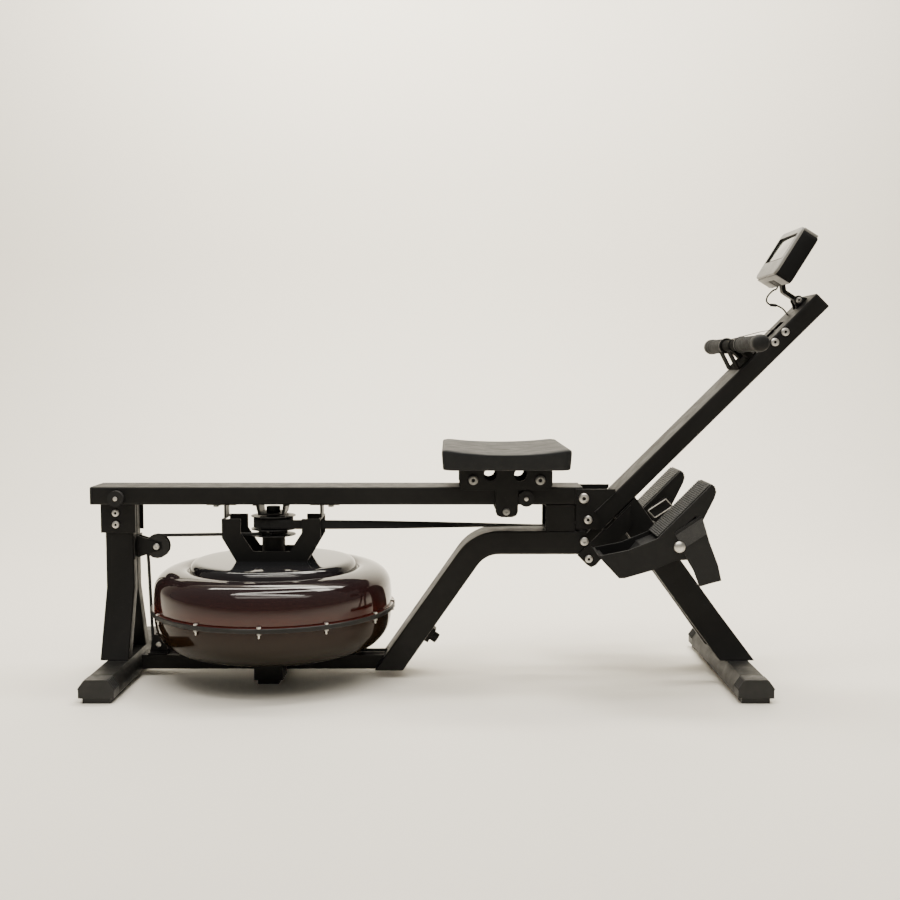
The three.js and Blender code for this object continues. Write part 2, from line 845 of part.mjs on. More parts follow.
// Neck box, open at both ends for the strap
const neckTopZ = railBottomZ - gap;
const neckBottomZ = mainTopZ + gap;
piece(
  "neck_box",
  cut(
    block(neckRearX, neckFrontX, -railHalf, railHalf, neckBottomZ, neckTopZ),
    block(
      neckRearX - overrun, neckFrontX + overrun, -railHalf + neckWall, railHalf - neckWall,
      neckBottomZ + neckWall, neckTopZ - neckWall,
    ),
  ),
  paint, 0.4, 0.3,
);

// Upper bracket plates with bolt heads and the strap roller's axle
const plateInner = railHalf + gap;
const plateOuter = plateInner + plateThickness;
const upperOutline = placed(upperPlateShares, upperPlateX, upperPlateZ, upperPlateLength,
  upperPlateHeight);
const headStart = plateOuter - gap;
const upperHeads = join(
  rod(railBoltX, railBoltZ, railBoltRadius, headStart, plateOuter + boltHeadHeight, roundSides),
  rod(junctionX, junctionZ, junctionBoltRadius, headStart, plateOuter + boltHeadHeight, roundSides),
);
const upperPlate = join(sideways(upperOutline, plateInner, plateOuter), upperHeads);
piece("arm_bracket_left", upperPlate, paint, 0.4, 0.3);
piece(
  "arm_bracket_right",
  join(mirrored(upperPlate), rod(junctionX, junctionZ, junctionAxleRadius, -plateInner - gap,
    plateInner - gap)),
  paint, 0.4, 0.3,
);
const tyre = (radius, bore, width) => turned([
  [bore, -width / 2], [radius, -width / 2], [radius, width / 2], [bore, width / 2], [bore, -width / 2],
]);
const junctionRoller = along(tyre(junctionRadius, junctionAxleRadius + gap, junctionWidth), junctionX,
  junctionZ);
piece("junction_roller", junctionRoller, plastic, 0.5);

// Arm tube, drawn in its own frame: x runs up the arm and z is square to its upper face
const toArm = (body) => moved(body, -armFootX, 0, -armFootZ).rotate([0, armAngle, 0]);
const armHalf = armHeight / 2;
const armEnd = armLength - armCapThickness - gap;
const armHalfWidth = armWidth / 2;
const armSection = roundedRectangle(-armHalfWidth, armHalfWidth, -armHalf, armHalf, tubeCorner);
const armBore = rectangle(-armHalfWidth + armWall, armHalfWidth - armWall, -armHalf + armWall,
  armHalf - armWall);
const armBlank = cut(
  lengthways(armSection, -armHeight * 2, armEnd),
  lengthways(armBore, -armHeight * 3, armEnd + overrun),
);
const armFootClip = toArm(block(
  armFootX - armLength, armFootX + armLength, -armWidth, armWidth, armFootZ - armLength, armCutZ,
));
const junctionNotch = toArm(rod(
  junctionX, junctionZ, junctionRadius + 2 * armWall, -armWidth, armWidth, roundSides,
));
const mouthCut = toArm(block(
  armFootX - armWidth, junctionX, -slotHalfWidth, slotHalfWidth, armCutZ - overrun, junctionZ,
));
const slotCut = block(slotStart, slotEnd, -slotHalfWidth, slotHalfWidth, armHalf - armWall * 2,
  armHalf + overrun);
const wireHole = moved(disc(wireRadius + gap, 0, armHalf + overrun), wireHoleU, wireY, 0);
const armAxles = [armRollerLowU, armRollerHighU].flatMap((u) => [
  rod(u, armRollerN, armAxleRadius, -armHalfWidth, armHalfWidth),
  rodPair(u, armRollerN, armBoltRadius, armHalfWidth - armWall / 2, armHalfWidth + armBoltHead),
]);
const earInner = linkHalfWidth + gap;
const earOuter = earInner + earThickness;
const earFoot = sideways(
  [
    [earU - earFootLength / 2, armHalf - armWall / 2], [earU + earFootLength / 2, armHalf - armWall / 2],
    [earU + earRadius, earN], [earU - earRadius, earN],
  ],
  earInner, earOuter,
);
const ear = join(
  earFoot,
  rod(earU, earN, earRadius, earInner, earOuter, roundSides),
  rod(earU, earN, earBoltRadius, earOuter - gap, earOuter + earThickness),
);
const armBody = join(
  cut(armBlank, armFootClip, junctionNotch, mouthCut, slotCut, wireHole),
  ...armAxles,
  ear,
  mirrored(ear),
  rod(earU, earN, earAxleRadius, -earOuter, earOuter),
);
piece("arm_tube", armBody, paint, 0.4, 0.3, armGroup);
const armPlug = armHalf - armWall - gap;
piece(
  "arm_end_cap",
  join(
    lengthways(armSection, armLength - armCapThickness, armLength),
    block(
      armEnd - armCapPlug, armLength - armCapThickness / 2, -armHalfWidth + armWall + gap,
      armHalfWidth - armWall - gap, -armPlug, armPlug,
    ),
  ),
  plastic, 0.6, 0, armGroup,
);
const armRoller = (radius) => tyre(radius, armAxleRadius + gap, armRollerWidth);
const lowArmRoller = along(armRoller(armRollerLowRadius), armRollerLowU, armRollerN);
const highArmRoller = along(armRoller(armRollerRadius), armRollerHighU, armRollerN);
piece("arm_roller_lower", lowArmRoller, plastic, 0.5, 0, armGroup);
piece("arm_roller_upper", highArmRoller, plastic, 0.5, 0, armGroup);

// Front legs, each with its lower plate, lug and bolt heads
function legAt(inset, extra) {
  const run = (legRearBottomX - legRearTopX) / (legTopZ - footBarTopZ);
  const topZ = legTopZ + legLengthX * 2 + extra;
  const levels = [
    [topZ, 0], [legCreaseZ, 0], [footTop - overrun, 1],
  ];
  const splayRate = legSplay / (legCreaseZ - footTop);
  return loft(levels.map(([z, splayed]) => {
    const x = legRearTopX + (legTopZ - z) * run;
    const y = legInnerTopY + splayed * splayRate * (legCreaseZ - z);
    const points = roundedRectangle(
      x + inset, x + legLengthX - inset, y + inset, y
        + legWidth - inset, inset ? tubeCorner / 2 : tubeCorner,
    );
    return points.map(([a, b]) => new THREE.Vector3(a, b, z));
  }));
}
const armUnder = armFootZ - armFootX - (armHalf + gap * 2) / Math.cos(radians(armAngle));
const underClip = sideways(
  [
    [0, armUnder], [armLength, armLength + armUnder], [armLength, armLength * 2], [0, armLength * 2],
  ],
  -armWidth, armWidth,
);
const legFloor = block(0, frontFootX + armLength, -armWidth * 2, armWidth * 2, footTop - armLength,
  footTop);
const lugHole = rod(pedalAxleX, pedalAxleZ, pedalAxleRadius + gap, 0, armWidth, roundSides);
const lowerOutline = placed(lowerPlateShares, lowerPlateX, lowerPlateZ, lowerPlateLength,
  lowerPlateHeight);
const lowerHeads = join(
  rod(mainBoltX, mainBoltZ, mainBoltRadius, headStart, plateOuter + boltHeadHeight, roundSides),
  rod(lobeBoltX, lobeBoltZ, lobeBoltRadius, headStart, plateOuter + boltHeadHeight, roundSides),
);
const legOuterTopY = legInnerTopY + legWidth;
const lug = rod(pedalAxleX, pedalAxleZ, pedalHubRadius, legInnerTopY, legOuterTopY, roundSides);
const legBody = cut(
  join(
    cut(legAt(0, 0), legAt(legWall, overrun)),
    sideways(lowerOutline, plateInner, plateOuter),
    lowerHeads,
    cut(lug, legAt(legWall, overrun)),
  ),
  underClip.intersect(block(0, armLength, 0, armWidth, 0, armLength)),
  legFloor,
  lugHole,
);
piece("front_leg_left", legBody, paint, 0.4, 0.3);
piece("front_leg_right", mirrored(legBody), paint, 0.4, 0.3);

// Pedal axle with its domed nuts
const pedalOuterY = pedalInnerY + pedalWidth;
const nut = turned([
  [0, pedalOuterY + gap], [nutRadius, pedalOuterY + gap], [nutRadius, pedalOuterY + nutHeight / 2],
  [nutRadius * 0.72, pedalOuterY + nutHeight * 0.85], [0, pedalOuterY + nutHeight],
], roundSides).rotate([-90, 0, 0]);
const sleeve = rodPair(0, 0, pedalAxleRadius * 3 / 2, legOuterTopY + gap, pedalInnerY - gap);
piece(
  "pedal_axle",
  join(rod(0, 0, pedalAxleRadius, -pedalOuterY - gap * 2, pedalOuterY + gap * 2), sleeve, nut,
    mirrored(nut)),
  zinc, 0.3, 0.8, pedalGroup,
);

// Pedals: a rimmed shell with a heel cup, tread ribs and a slot for the strap
const pedalPoints = (shares) => placed(shares, 0, 0, pedalLength, pedalHeight);
const treadTop = pedalPoints(pedalTreadShares);
const treadFloor = treadTop.map(([x, z]) => [x + pedalRecess * 0.7, z - pedalRecess * 0.7]);
const treadCut = sideways(
  [...treadTop.map(([x, z]) => [x - overrun / 2, z + overrun]), ...treadFloor.toReversed()],
  pedalInnerY + pedalRim, pedalOuterY - pedalRim,
);
const cupCut = sideways(pedalPoints(pedalCupShares), pedalInnerY + pedalRim, pedalOuterY - pedalRim);
const pocketCut = sideways(pedalPoints(pedalPocketShares), pedalInnerY - overrun, pedalOuterY + overrun);
const [ballTop, heelTop] = [treadFloor[0], treadFloor[1]];
const treadRibs = [];
for (let i = 1; i <= treadRibCount; i += 1) {
  const share = i / (treadRibCount + 1);
  const x = heelTop[0] + (ballTop[0] - heelTop[0]) * share;
  const z = heelTop[1] + (ballTop[1] - heelTop[1]) * share;
  const slope = Math.atan2(ballTop[1] - heelTop[1], ballTop[0] - heelTop[0]);
  const rib = block(
    -treadRibWidth / 2, treadRibWidth / 2, pedalInnerY + pedalRim * 2, pedalOuterY - pedalRim * 2,
    -treadRibHeight, treadRibHeight,
  );
  treadRibs.push(moved(rib.rotate([0, -THREE.MathUtils.radToDeg(slope), 0]), x, 0, z));
}
const [slotStartPoint] = pedalPoints([strapSlotStartShares]);
const [slotEndPoint] = pedalPoints([strapSlotEndShares]);
function slotBand(thickness, shorten, fromY, toY) {
  const [dx, dz] = [slotEndPoint[0] - slotStartPoint[0], slotEndPoint[1] - slotStartPoint[1]];
  const length = Math.hypot(dx, dz);
  const [ux, uz] = [dx / length, dz / length];
  const [nx, nz] = [-uz * thickness / 2, ux * thickness / 2];
  const [sx, sz] = [slotStartPoint[0] + ux * shorten, slotStartPoint[1] + uz * shorten];
  const [ex, ez] = [slotEndPoint[0] - ux * shorten, slotEndPoint[1] - uz * shorten];
  return sideways([[sx - nx, sz - nz], [ex - nx, ez - nz], [ex + nx, ez + nz], [sx + nx, sz + nz]],
    fromY, toY);
}
const pedalBore = rod(0, 0, pedalAxleRadius + gap, 0, pedalOuterY + overrun, roundSides);
const pedalBody = cut(
  join(
    cut(sideways(pedalPoints(pedalShares), pedalInnerY, pedalOuterY), treadCut, cupCut, pocketCut),
    ...treadRibs,
    rod(0, 0, pedalHubRadius, pedalInnerY, pedalOuterY, roundSides),
  ),
  pedalBore,
  slotBand(strapSlotHeight, 0, pedalInnerY - overrun, pedalOuterY + overrun),
);
piece("pedal_left", pedalBody, plastic, 0.6, 0, pedalGroup);
piece("pedal_right", mirrored(pedalBody), plastic, 0.6, 0, pedalGroup);
const nutClearance = rod(0, 0, nutRadius + gap * 3, 0, pedalOuterY + overrun, roundSides);
const strapOuter = sideways(pedalPoints(footStrapShares), pedalOuterY + gap,
  pedalOuterY + gap + strapThickness);
const strapInner = sideways(pedalPoints(innerStrapShares), pedalInnerY - gap - strapThickness,
  pedalInnerY - gap);
const footStrap = cut(
  join(
    strapOuter,
    strapInner,
    slotBand(strapThickness, gap * 2, pedalInnerY - gap - strapThickness / 2,
      pedalOuterY + gap + strapThickness / 2),
  ),
  nutClearance,
);
piece("pedal_strap_left", footStrap, cloth, 0.95, 0, pedalGroup);
piece("pedal_strap_right", mirrored(footStrap), cloth, 0.95, 0, pedalGroup);

// Handle with grips, on its cradle, in the arm's frame
const seatRadius = handleBarRadius + gap;
const leanRun = Math.tan(radians(cradleLean));
const cradleBaseN = armHalf + gap;
const cradleFootTop = cradleBaseN + cradleThickness;
const leanAt = (n) => cradleRearU + (n - cradleFootTop) * leanRun;
const uprightWidth = cradleThickness / Math.cos(radians(cradleLean));
const hookOutline = [
  [cradleRearU, cradleBaseN], [cradleFootEndU, cradleBaseN], [cradleFootEndU, cradleFootTop],
  [handleU + cradleSeatLength / 2, cradleFootTop], [handleU + cradleSeatLength / 2, handleN],
  [handleU - cradleSeatLength / 2, handleN], [handleU - cradleSeatLength / 2, cradleFootTop],
  [cradleRearU + uprightWidth, cradleFootTop], [leanAt(cradleTipN) + uprightWidth, cradleTipN],
  [leanAt(cradleTipN), cradleTipN], [cradleRearU, cradleFootTop],
];
const seatCut = rod(handleU, handleN, seatRadius, -armWidth, armWidth, roundSides);
const seatTrim = block(
  handleU - cradleSeatLength, handleU + cradleSeatLength, -armWidth, armWidth,
  handleN - seatRadius * 0.85, handleN + seatRadius,
);
const hook = cut(sideways(hookOutline, cradleInnerY, cradleOuterY), seatCut, seatTrim);
const cradleWeb = block(
  cradleRearU, cradleFootEndU, -cradleWebHalfWidth, cradleWebHalfWidth, cradleBaseN, cradleFootTop,
);
piece("handle_cradle", join(cradleWeb, hook, mirrored(hook)), paintDark, 0.4, 0.5, armGroup);
const barBody = join(
  rod(handleU, handleN, handleBarRadius, -gripInnerY + gap, gripInnerY - gap, roundSides),
  rodPair(handleU, handleN, handleRingRadius, handleRingY, handleRingY + handleRingWidth, roundSides),
  rod(handleU, handleN, handleCoreRadius, -gripOuterY + gripEndLength, gripOuterY - gripEndLength),
);
piece("handle_bar", barBody, paint, 0.4, 0.3, armGroup);
const gripEndStart = gripOuterY - gripEndLength;
const gripProfile = [
  [0, gripOuterY], [gripRadius * 0.7, gripOuterY], [gripRadius * 0.93, gripOuterY - gripRadius * 0.2],
  [gripRadius, gripOuterY - gripRadius / 2], [gripRadius, gripEndStart],
  [gripRadius - gap * 2, gripEndStart - gap * 2], [gripRadius - gap * 2, gripInnerY],
  [handleCoreRadius + gap, gripInnerY], [handleCoreRadius + gap, gripEndStart + gap],
  [0, gripEndStart + gap],
];
const gripBody = moved(turned(gripProfile).rotate([-90, 0, 0]), handleU, 0, handleN);
piece("handle_grip_left", gripBody, rubber, 0.85, 0, armGroup);
piece("handle_grip_right", mirrored(gripBody), rubber, 0.85, 0, armGroup);
const strapRing = along(
  ring(seatRadius, seatRadius + strapGauge * 3 / 2, -strapWidth / 2, strapWidth / 2, roundSides),
  handleU,
  handleN,
);
const exit = [strapExitU, strapExitN];
const tailTop = handleN + seatRadius + strapGauge;
const tail = sideways(
  [
    [handleU, tailTop], [handleU, tailTop - strapGauge], [exit[0], exit[1] - strapGauge / 2],
    [exit[0], exit[1] + strapGauge / 2],
  ],
  -strapWidth / 2, strapWidth / 2,
);
piece("handle_strap", join(strapRing, cut(tail, seatCut)), cloth, 0.9, 0, armGroup);

// Tank: clamped upper and lower shells with a bolted ring
const lipOuter = flangeRadius - flangeWall - gap;
const upperPoints = (inset) => upperShellShares.map(([a, b]) => [
  a * shellRadius - (a === 1 || a > 0.9 ? inset : 0),
  seamZ + b * upperShellHeight - (a > 0.9 && b < 0.6 ? 0 : inset),
]);
const upperOuter = upperPoints(0);
const upperInner = upperPoints(shellWall).filter((point, i) => !upperInnerSkips.includes(i));
const shellBore = shaftRadius + gap * 3;
const upperShell = turned([
  [shellRadius - shellWall, seamZ + gap / 2], [lipOuter, seamZ + gap / 2], [lipOuter,
    seamZ + lipThickness],
  [shellRadius, seamZ + lipThickness], ...upperOuter, [shellBore, upperOuter.at(-1)[1]],
  [shellBore, upperInner.at(-1)[1]], ...upperInner.toReversed(), [shellRadius - shellWall,
    seamZ + gap / 2],
], tankSides);
piece("tank_upper_shell", upperShell, smoke, 0.2, 0, tankGroup);
const lowerPoints = (inset) => lowerShellShares.map(([a, b]) => [
  a * shellRadius - (a > 0.8 ? inset : 0),
  seamZ - b * lowerShellDepth + (b > 0.7 ? inset : 0),
]);
const lowerSkin = lowerPoints(0);
const lowerInner = lowerPoints(shellWall);
const lowerShell = turned([
  [shellRadius - shellWall, seamZ - gap / 2], ...lowerInner, [0, lowerInner.at(-1)[1]],
  [0, lowerSkin.at(-1)[1]], ...lowerSkin.toReversed(), [shellRadius, seamZ - lipThickness],
  [lipOuter, seamZ - lipThickness], [lipOuter, seamZ - gap / 2], [shellRadius - shellWall,
    seamZ - gap / 2],
], tankSides);
piece("tank_lower_shell", lowerShell, olive, 0.3, 0, tankGroup);
const clampIn = shellRadius + gap;
const grooveOut = flangeRadius - flangeWall;
const clampRing = turned([
  [clampIn, flangeBottomZ], [flangeRadius, flangeBottomZ], [flangeRadius, flangeTopZ], [clampIn,
    flangeTopZ],
  [clampIn, seamZ + lipThickness + gap], [grooveOut, seamZ + lipThickness + gap],
  [grooveOut, seamZ - lipThickness - gap], [clampIn, seamZ - lipThickness - gap], [clampIn,
    flangeBottomZ],
], tankSides);
const tankBolts = [];
const tankBoltCircle = (clampIn + flangeRadius) / 2;
for (let i = 0; i < tankBoltCount; i += 1) {
  const angle = radians(tankBoltStart + (360 * i) / tankBoltCount);
  const head = disc(tankBoltRadius, flangeTopZ - gap, flangeTopZ + tankBoltHead, tankBoltSides);
  const [x, y] = [tankBoltCircle * Math.cos(angle), tankBoltCircle * Math.sin(angle)];
  tankBolts.push(moved(head, x, y, 0));
}
piece("tank_flange", join(clampRing, ...tankBolts), ringBlack, 0.35, 0, tankGroup);

// Impeller on its shaft
const blades = [];
for (let i = 0; i < bladeCount; i += 1) {
  const blade = sideways(
    [
      [hubRadius / 2, hubBottomZ + gap], [bladeRadius, hubBottomZ + bladeRise],
      [bladeRadius, hubBottomZ + bladeHeight], [hubRadius / 2, hubBottomZ + bladeHeight + bladeRise],
    ],
    -bladeThickness / 2, bladeThickness / 2,
  );
  blades.push(blade.rotate([0, 0, (360 * i) / bladeCount]));
}
const shaftBore = disc(shaftRadius + gap, hubBottomZ - overrun, hubBottomZ + hubHeight + overrun,
  roundSides);
const hub = disc(hubRadius, hubBottomZ, hubBottomZ + hubHeight, roundSides);
piece("impeller", cut(join(hub, ...blades), shaftBore), ivory, 0.4, 0, tankGroup);
piece("drive_shaft", disc(shaftRadius, shaftFootZ, shaftTopZ, roundSides), zinc, 0.25, 0.9, tankGroup);

// Yoke under the rail, with its hangers and the lower bearing housing
const yokeInner = yokeHalfWidth - yokeThickness;
const yokeBendZ = yokeBottomZ + yokeChamferHeight;
const yokeBarEndZ = yokeBarZ + yokeInnerChamferHeight;
const yokeInnerRear = yokeRearX + yokeArm;
const yokeInnerFront = yokeFrontX - yokeArm;
const yokeOutline = [
  [yokeRearX + yokeChamferLength, yokeBottomZ], [yokeFrontX - yokeChamferLength, yokeBottomZ],
  [yokeFrontX, yokeBendZ], [yokeFrontX, yokeTopZ], [yokeInnerFront, yokeTopZ], [yokeInnerFront,
    yokeBarEndZ],
  [yokeInnerFront - yokeInnerChamferLength, yokeBarZ], [yokeInnerRear + yokeInnerChamferLength, yokeBarZ],
  [yokeInnerRear, yokeBarEndZ], [yokeInnerRear, yokeTopZ], [yokeRearX, yokeTopZ], [yokeRearX, yokeBendZ],
];
const yokeSide = sideways(yokeOutline, yokeInner, yokeHalfWidth);
const yokeBase = block(
  yokeRearX + yokeChamferLength, yokeFrontX - yokeChamferLength, -yokeHalfWidth, yokeHalfWidth,
  yokeBottomZ, yokeBottomZ + yokeThickness,
);
const flangeZ = railBottomZ - gap;
const hangerOutline = [
  [-yokeHalfWidth, yokeBendZ], [-yokeInner, yokeBendZ], [-yokeInner, hangerMouthZ], [yokeInner,
    hangerMouthZ],
  [yokeInner, yokeBendZ], [yokeHalfWidth, yokeBendZ], [yokeHalfWidth, yokeTopZ], [hangerHalfWidth,
    yokeTopZ],
  [hangerHalfWidth, flangeZ], [-hangerHalfWidth, flangeZ], [-hangerHalfWidth, yokeTopZ],
  [-yokeHalfWidth, yokeTopZ],
];
const hangers = [
  lengthways(hangerOutline, yokeRearX, yokeRearX + hangerThickness),
  lengthways(hangerOutline, yokeFrontX - hangerThickness, yokeFrontX),
  block(
    yokeRearX - hangerFlangeOut, yokeRearX + hangerFlangeIn, -hangerHalfWidth, hangerHalfWidth,
    flangeZ - hangerThickness, flangeZ,
  ),
  block(
    yokeFrontX - hangerFlangeIn, yokeFrontX + hangerFlangeOut, -hangerHalfWidth, hangerHalfWidth,
    flangeZ - hangerThickness, flangeZ,
  ),
];
const housing = disc(lowerHousingRadius, yokeBottomZ, lowerHousingTopZ, roundSides);
const housingBore = disc(shaftRadius + gap, yokeBottomZ - overrun, lowerHousingTopZ + overrun,
  roundSides);
piece(
  "yoke",
  cut(
    join(yokeSide, mirrored(yokeSide), yokeBase, ...hangers, moved(housing, tankX, 0, 0)),
    moved(housingBore, tankX, 0, 0),
  ),
  paintDark, 0.5, 0.4,
);
const hatBaseHalf = bearingBaseLength / 2;
const hatTopHalf = bearingTopLength / 2;
const hatShoulder = hatBaseHalf - bearingThickness * 2;
const hatFootZ = flangeZ - bearingThickness;
const hatOutline = [
  [-hatTopHalf, bearingBottomZ], [hatTopHalf, bearingBottomZ], [hatShoulder, hatFootZ], [hatBaseHalf,
    hatFootZ],
  [hatBaseHalf, flangeZ], [-hatBaseHalf, flangeZ], [-hatBaseHalf, hatFootZ], [-hatShoulder, hatFootZ],
];
const hatHollow = [
  [-bearingTopLength / 2 + bearingThickness, bearingBottomZ + bearingThickness],
  [bearingTopLength / 2 - bearingThickness, bearingBottomZ + bearingThickness],
  [bearingBaseLength / 2 - bearingThickness * 3, flangeZ + overrun],
  [-bearingBaseLength / 2 + bearingThickness * 3, flangeZ + overrun],
];
const bearingHousing = disc(bearingHousingRadius, bearingHousingBottomZ, shaftTopZ + bearingThickness,
  roundSides);
const bearingBore = disc(shaftRadius + gap, bearingHousingBottomZ - overrun, shaftTopZ + gap, roundSides);
piece(
  "upper_bearing_bracket",
  cut(
    join(
      cut(
        sideways(hatOutline, -bearingHalfWidth, bearingHalfWidth),
        sideways(hatHollow, -bearingHalfWidth - overrun, bearingHalfWidth + overrun),
      ),
      bearingHousing,
    ),
    bearingBore,
  ),
  paintDark, 0.5, 0.4, tankGroup,
);

// Spool with its strap winding and its cord winding
const spoolBore = shaftRadius + gap;
const spool = turned([
  [spoolBore, lowerHousingTopZ + gap], [spoolHubRadius, lowerHousingTopZ + gap], [spoolHubRadius,
    drumBottomZ],
  [spoolHubRadius, spoolMiddleZ], [spoolFlangeRadius, spoolMiddleZ],
  [spoolFlangeRadius, spoolMiddleZ + spoolFlangeThickness], [spoolDrumRadius,
    spoolMiddleZ + spoolFlangeThickness],
  [spoolDrumRadius, spoolTopZ - spoolFlangeThickness], [spoolFlangeRadius,
    spoolTopZ - spoolFlangeThickness],
  [spoolFlangeRadius, spoolTopZ], [spoolBore, spoolTopZ], [spoolBore, lowerHousingTopZ + gap],
], spoolSides);
const spoolFoot = ring(
  spoolHubRadius - gap, spoolFlangeRadius, drumBottomZ, drumBottomZ + spoolFlangeThickness, spoolSides,
);
piece("spool", join(spool, spoolFoot), plastic, 0.45, 0, tankGroup);
const strapTop = strapMiddleZ + strapWidth / 2;
const strapBottom = strapMiddleZ - strapWidth / 2;
const windingPitch = (windingOuterRadius - windingCoreRadius - strapGauge / 2) / windingTurns;
const windingSteps = windingTurns * loopSteps;
const spiral = [];
for (let i = 0; i <= windingSteps; i += 1) {
  const angle = -Math.PI / 2 + (2 * Math.PI * (i - windingSteps)) / loopSteps;
  const middle = windingOuterRadius - strapGauge / 2 - (windingPitch * (windingSteps - i)) / loopSteps;
  const corners = [
    [middle - strapGauge / 2, strapBottom], [middle + strapGauge / 2, strapBottom],
    [middle + strapGauge / 2, strapTop], [middle - strapGauge / 2, strapTop],
  ];
  spiral.push(corners.map(([r, z]) => new THREE.Vector3(r * Math.cos(angle), r * Math.sin(angle), z)));
}
let leastStrapGap = Infinity;
spiral.forEach((a, i) => spiral.slice(i + loopSteps / 2).forEach((b) => {
  leastStrapGap = Math.min(leastStrapGap, a[1].distanceTo(b[0]));
}));
console.log("strap winding, least gap to itself", leastStrapGap.toFixed(2), "mm");
const windingCore = ring(
  spoolDrumRadius + gap, windingCoreRadius, strapBottom, strapTop, spoolSides,
);
piece("strap_winding", join(windingCore, loft(spiral)), cloth, 0.9, 0, tankGroup);
const coilPath = [];
const coilSteps = cordCoilTurns * loopSteps;
for (let i = 0; i <= coilSteps; i += 1) {
  const back = (coilSteps - i) / loopSteps;
  const radius = cordCoilRadius - cordCoilPitch * back;
  const angle = -Math.PI / 2 + 2 * Math.PI * back;
  coilPath.push(new THREE.Vector3(radius * Math.cos(angle), radius * Math.sin(angle), cordCoilZ));
}
let leastCoilGap = Infinity;
coilPath.forEach((a, i) => coilPath.slice(i + loopSteps / 2).forEach((b) => {
  leastCoilGap = Math.min(leastCoilGap, a.distanceTo(b) - 2 * cordRadius);
}));
console.log("cord winding, least gap to itself", leastCoilGap.toFixed(2), "mm");
piece("bungee_winding", roundTube(coilPath, cordRadius, coilSides), rubber, 0.85, 0, tankGroup);

// Drive strap: twists flat on its way to the neck, passes under the roller and up through the arm
const strapHalf = strapWidth / 2;
const gaugeHalf = strapGauge / 2;
const wrap = gap + gaugeHalf;
const toWorld = (u, n) => {
  const [c, s] = [Math.cos(radians(armAngle)), Math.sin(radians(armAngle))];
  return [armFootX + u * c - n * s, armFootZ + u * s + n * c];
};
const flatZ = junctionZ - junctionRadius - wrap;
const strapFrames = [];
const neckIn = neckRearX - overrun;
const twistSteps = 16;
for (let i = 0; i <= twistSteps; i += 1) {
  const share = i / twistSteps;
  const turn = (Math.PI / 2) * share;
  const startY = -windingOuterRadius - wrap;
  const centre = new THREE.Vector3(
    tankX + (neckIn - tankX) * share,
    startY * (1 - share),
    strapMiddleZ + (flatZ - strapMiddleZ) * share,
  );
  strapFrames.push([
    centre,
    new THREE.Vector3(0, Math.sin(turn), Math.cos(turn)),
    new THREE.Vector3(0, Math.cos(turn), -Math.sin(turn)),
  ]);
}
const flatFrame = (x, z, angle) => [
  new THREE.Vector3(x, 0, z), new THREE.Vector3(0, 1, 0), new THREE.Vector3(Math.sin(angle), 0,
    -Math.cos(angle)),
];
const wrapSteps = 5;
for (let i = 0; i <= wrapSteps; i += 1) {
  const angle = (radians(armAngle) * i) / wrapSteps;
  const radius = junctionRadius + wrap;
  strapFrames.push(flatFrame(junctionX + radius * Math.sin(angle), junctionZ - radius * Math.cos(angle),
    angle));
}
const armRunShares = [0.25, 0.5, 0.75];
for (const share of armRunShares) {
  const [x, z] = toWorld(armRollerHighU * share, armRollerN - armRollerRadius - wrap);
  strapFrames.push(flatFrame(x, z, radians(armAngle)));
}
const highRadius = armRollerRadius + wrap;
const exitRun = [exit[0] - armRollerHighU, exit[1] - armRollerN];
const exitSpan = Math.hypot(exitRun[0], exitRun[1]);
const exitTurn = Math.atan2(exitRun[1], exitRun[0]) - Math.acos(highRadius / exitSpan);
const highSteps = 8;
for (let i = 0; i <= highSteps; i += 1) {
  const angle = -Math.PI / 2 + ((exitTurn + Math.PI / 2) * i) / highSteps;
  const u = armRollerHighU + highRadius * Math.cos(angle);
  const n = armRollerN + highRadius * Math.sin(angle);
  const [x, z] = toWorld(u, n);
  strapFrames.push(flatFrame(x, z, angle + Math.PI / 2 + radians(armAngle)));
}
const exitGapShare = (exitSpan - gap) / exitSpan;
const [endX, endZ] = toWorld(
  armRollerHighU + exitRun[0] * exitGapShare,
  armRollerN + exitRun[1] * exitGapShare,
);
strapFrames.push(flatFrame(endX, endZ, exitTurn + Math.PI / 2 + radians(armAngle)));
const strapRings = strapFrames.map(([centre, wide, thin]) => [[-1, -1], [1, -1], [1, 1], [-1, 1]].map(
  ([a, b]) => centre.clone().addScaledVector(wide, a * strapHalf).addScaledVector(thin, b * gaugeHalf),
));
piece("drive_strap", loft(strapRings), cloth, 0.9);

// Cord from the spool over both pulleys, along the base tube and into the main tube
const sweptCoil = cordCoilRadius + cordRadius + gap;
const cordStart = tankX - Math.sqrt(sweptCoil ** 2 - (cordCoilRadius - cordRadius) ** 2) - gap;
const cordPath = [new THREE.Vector3(cordStart, -cordCoilRadius, cordCoilZ)];
cordPath.push(new THREE.Vector3(cordStart - 2 * cordRadius, -cordCoilRadius, cordCoilZ));
const upperCord = upperPulleyCordRadius;
const lowerCord = lowerPulleyCordRadius;
const pulleySteps = 8;
const cordDrop = Math.asin((lowerCord - upperCord
  + upperPulleyX - lowerPulleyX) / (upperPulleyZ - lowerPulleyZ));
for (let i = 0; i <= pulleySteps; i += 1) {
  const angle = Math.PI / 2 + ((Math.PI / 2 - cordDrop) * i) / pulleySteps;
  cordPath.push(new THREE.Vector3(
    upperPulleyX + upperCord * Math.cos(angle), 0, upperPulleyZ + upperCord * Math.sin(angle),
  ));
}
for (let i = 0; i <= pulleySteps; i += 1) {
  const angle = Math.PI - cordDrop + ((Math.PI / 2 + cordDrop) * i) / pulleySteps;
  cordPath.push(new THREE.Vector3(
    lowerPulleyX + lowerCord * Math.cos(angle), 0, lowerPulleyZ + lowerCord * Math.sin(angle),
  ));
}
cordPath.push(new THREE.Vector3(rearFace(cordZ) + mainWall, 0, cordZ));
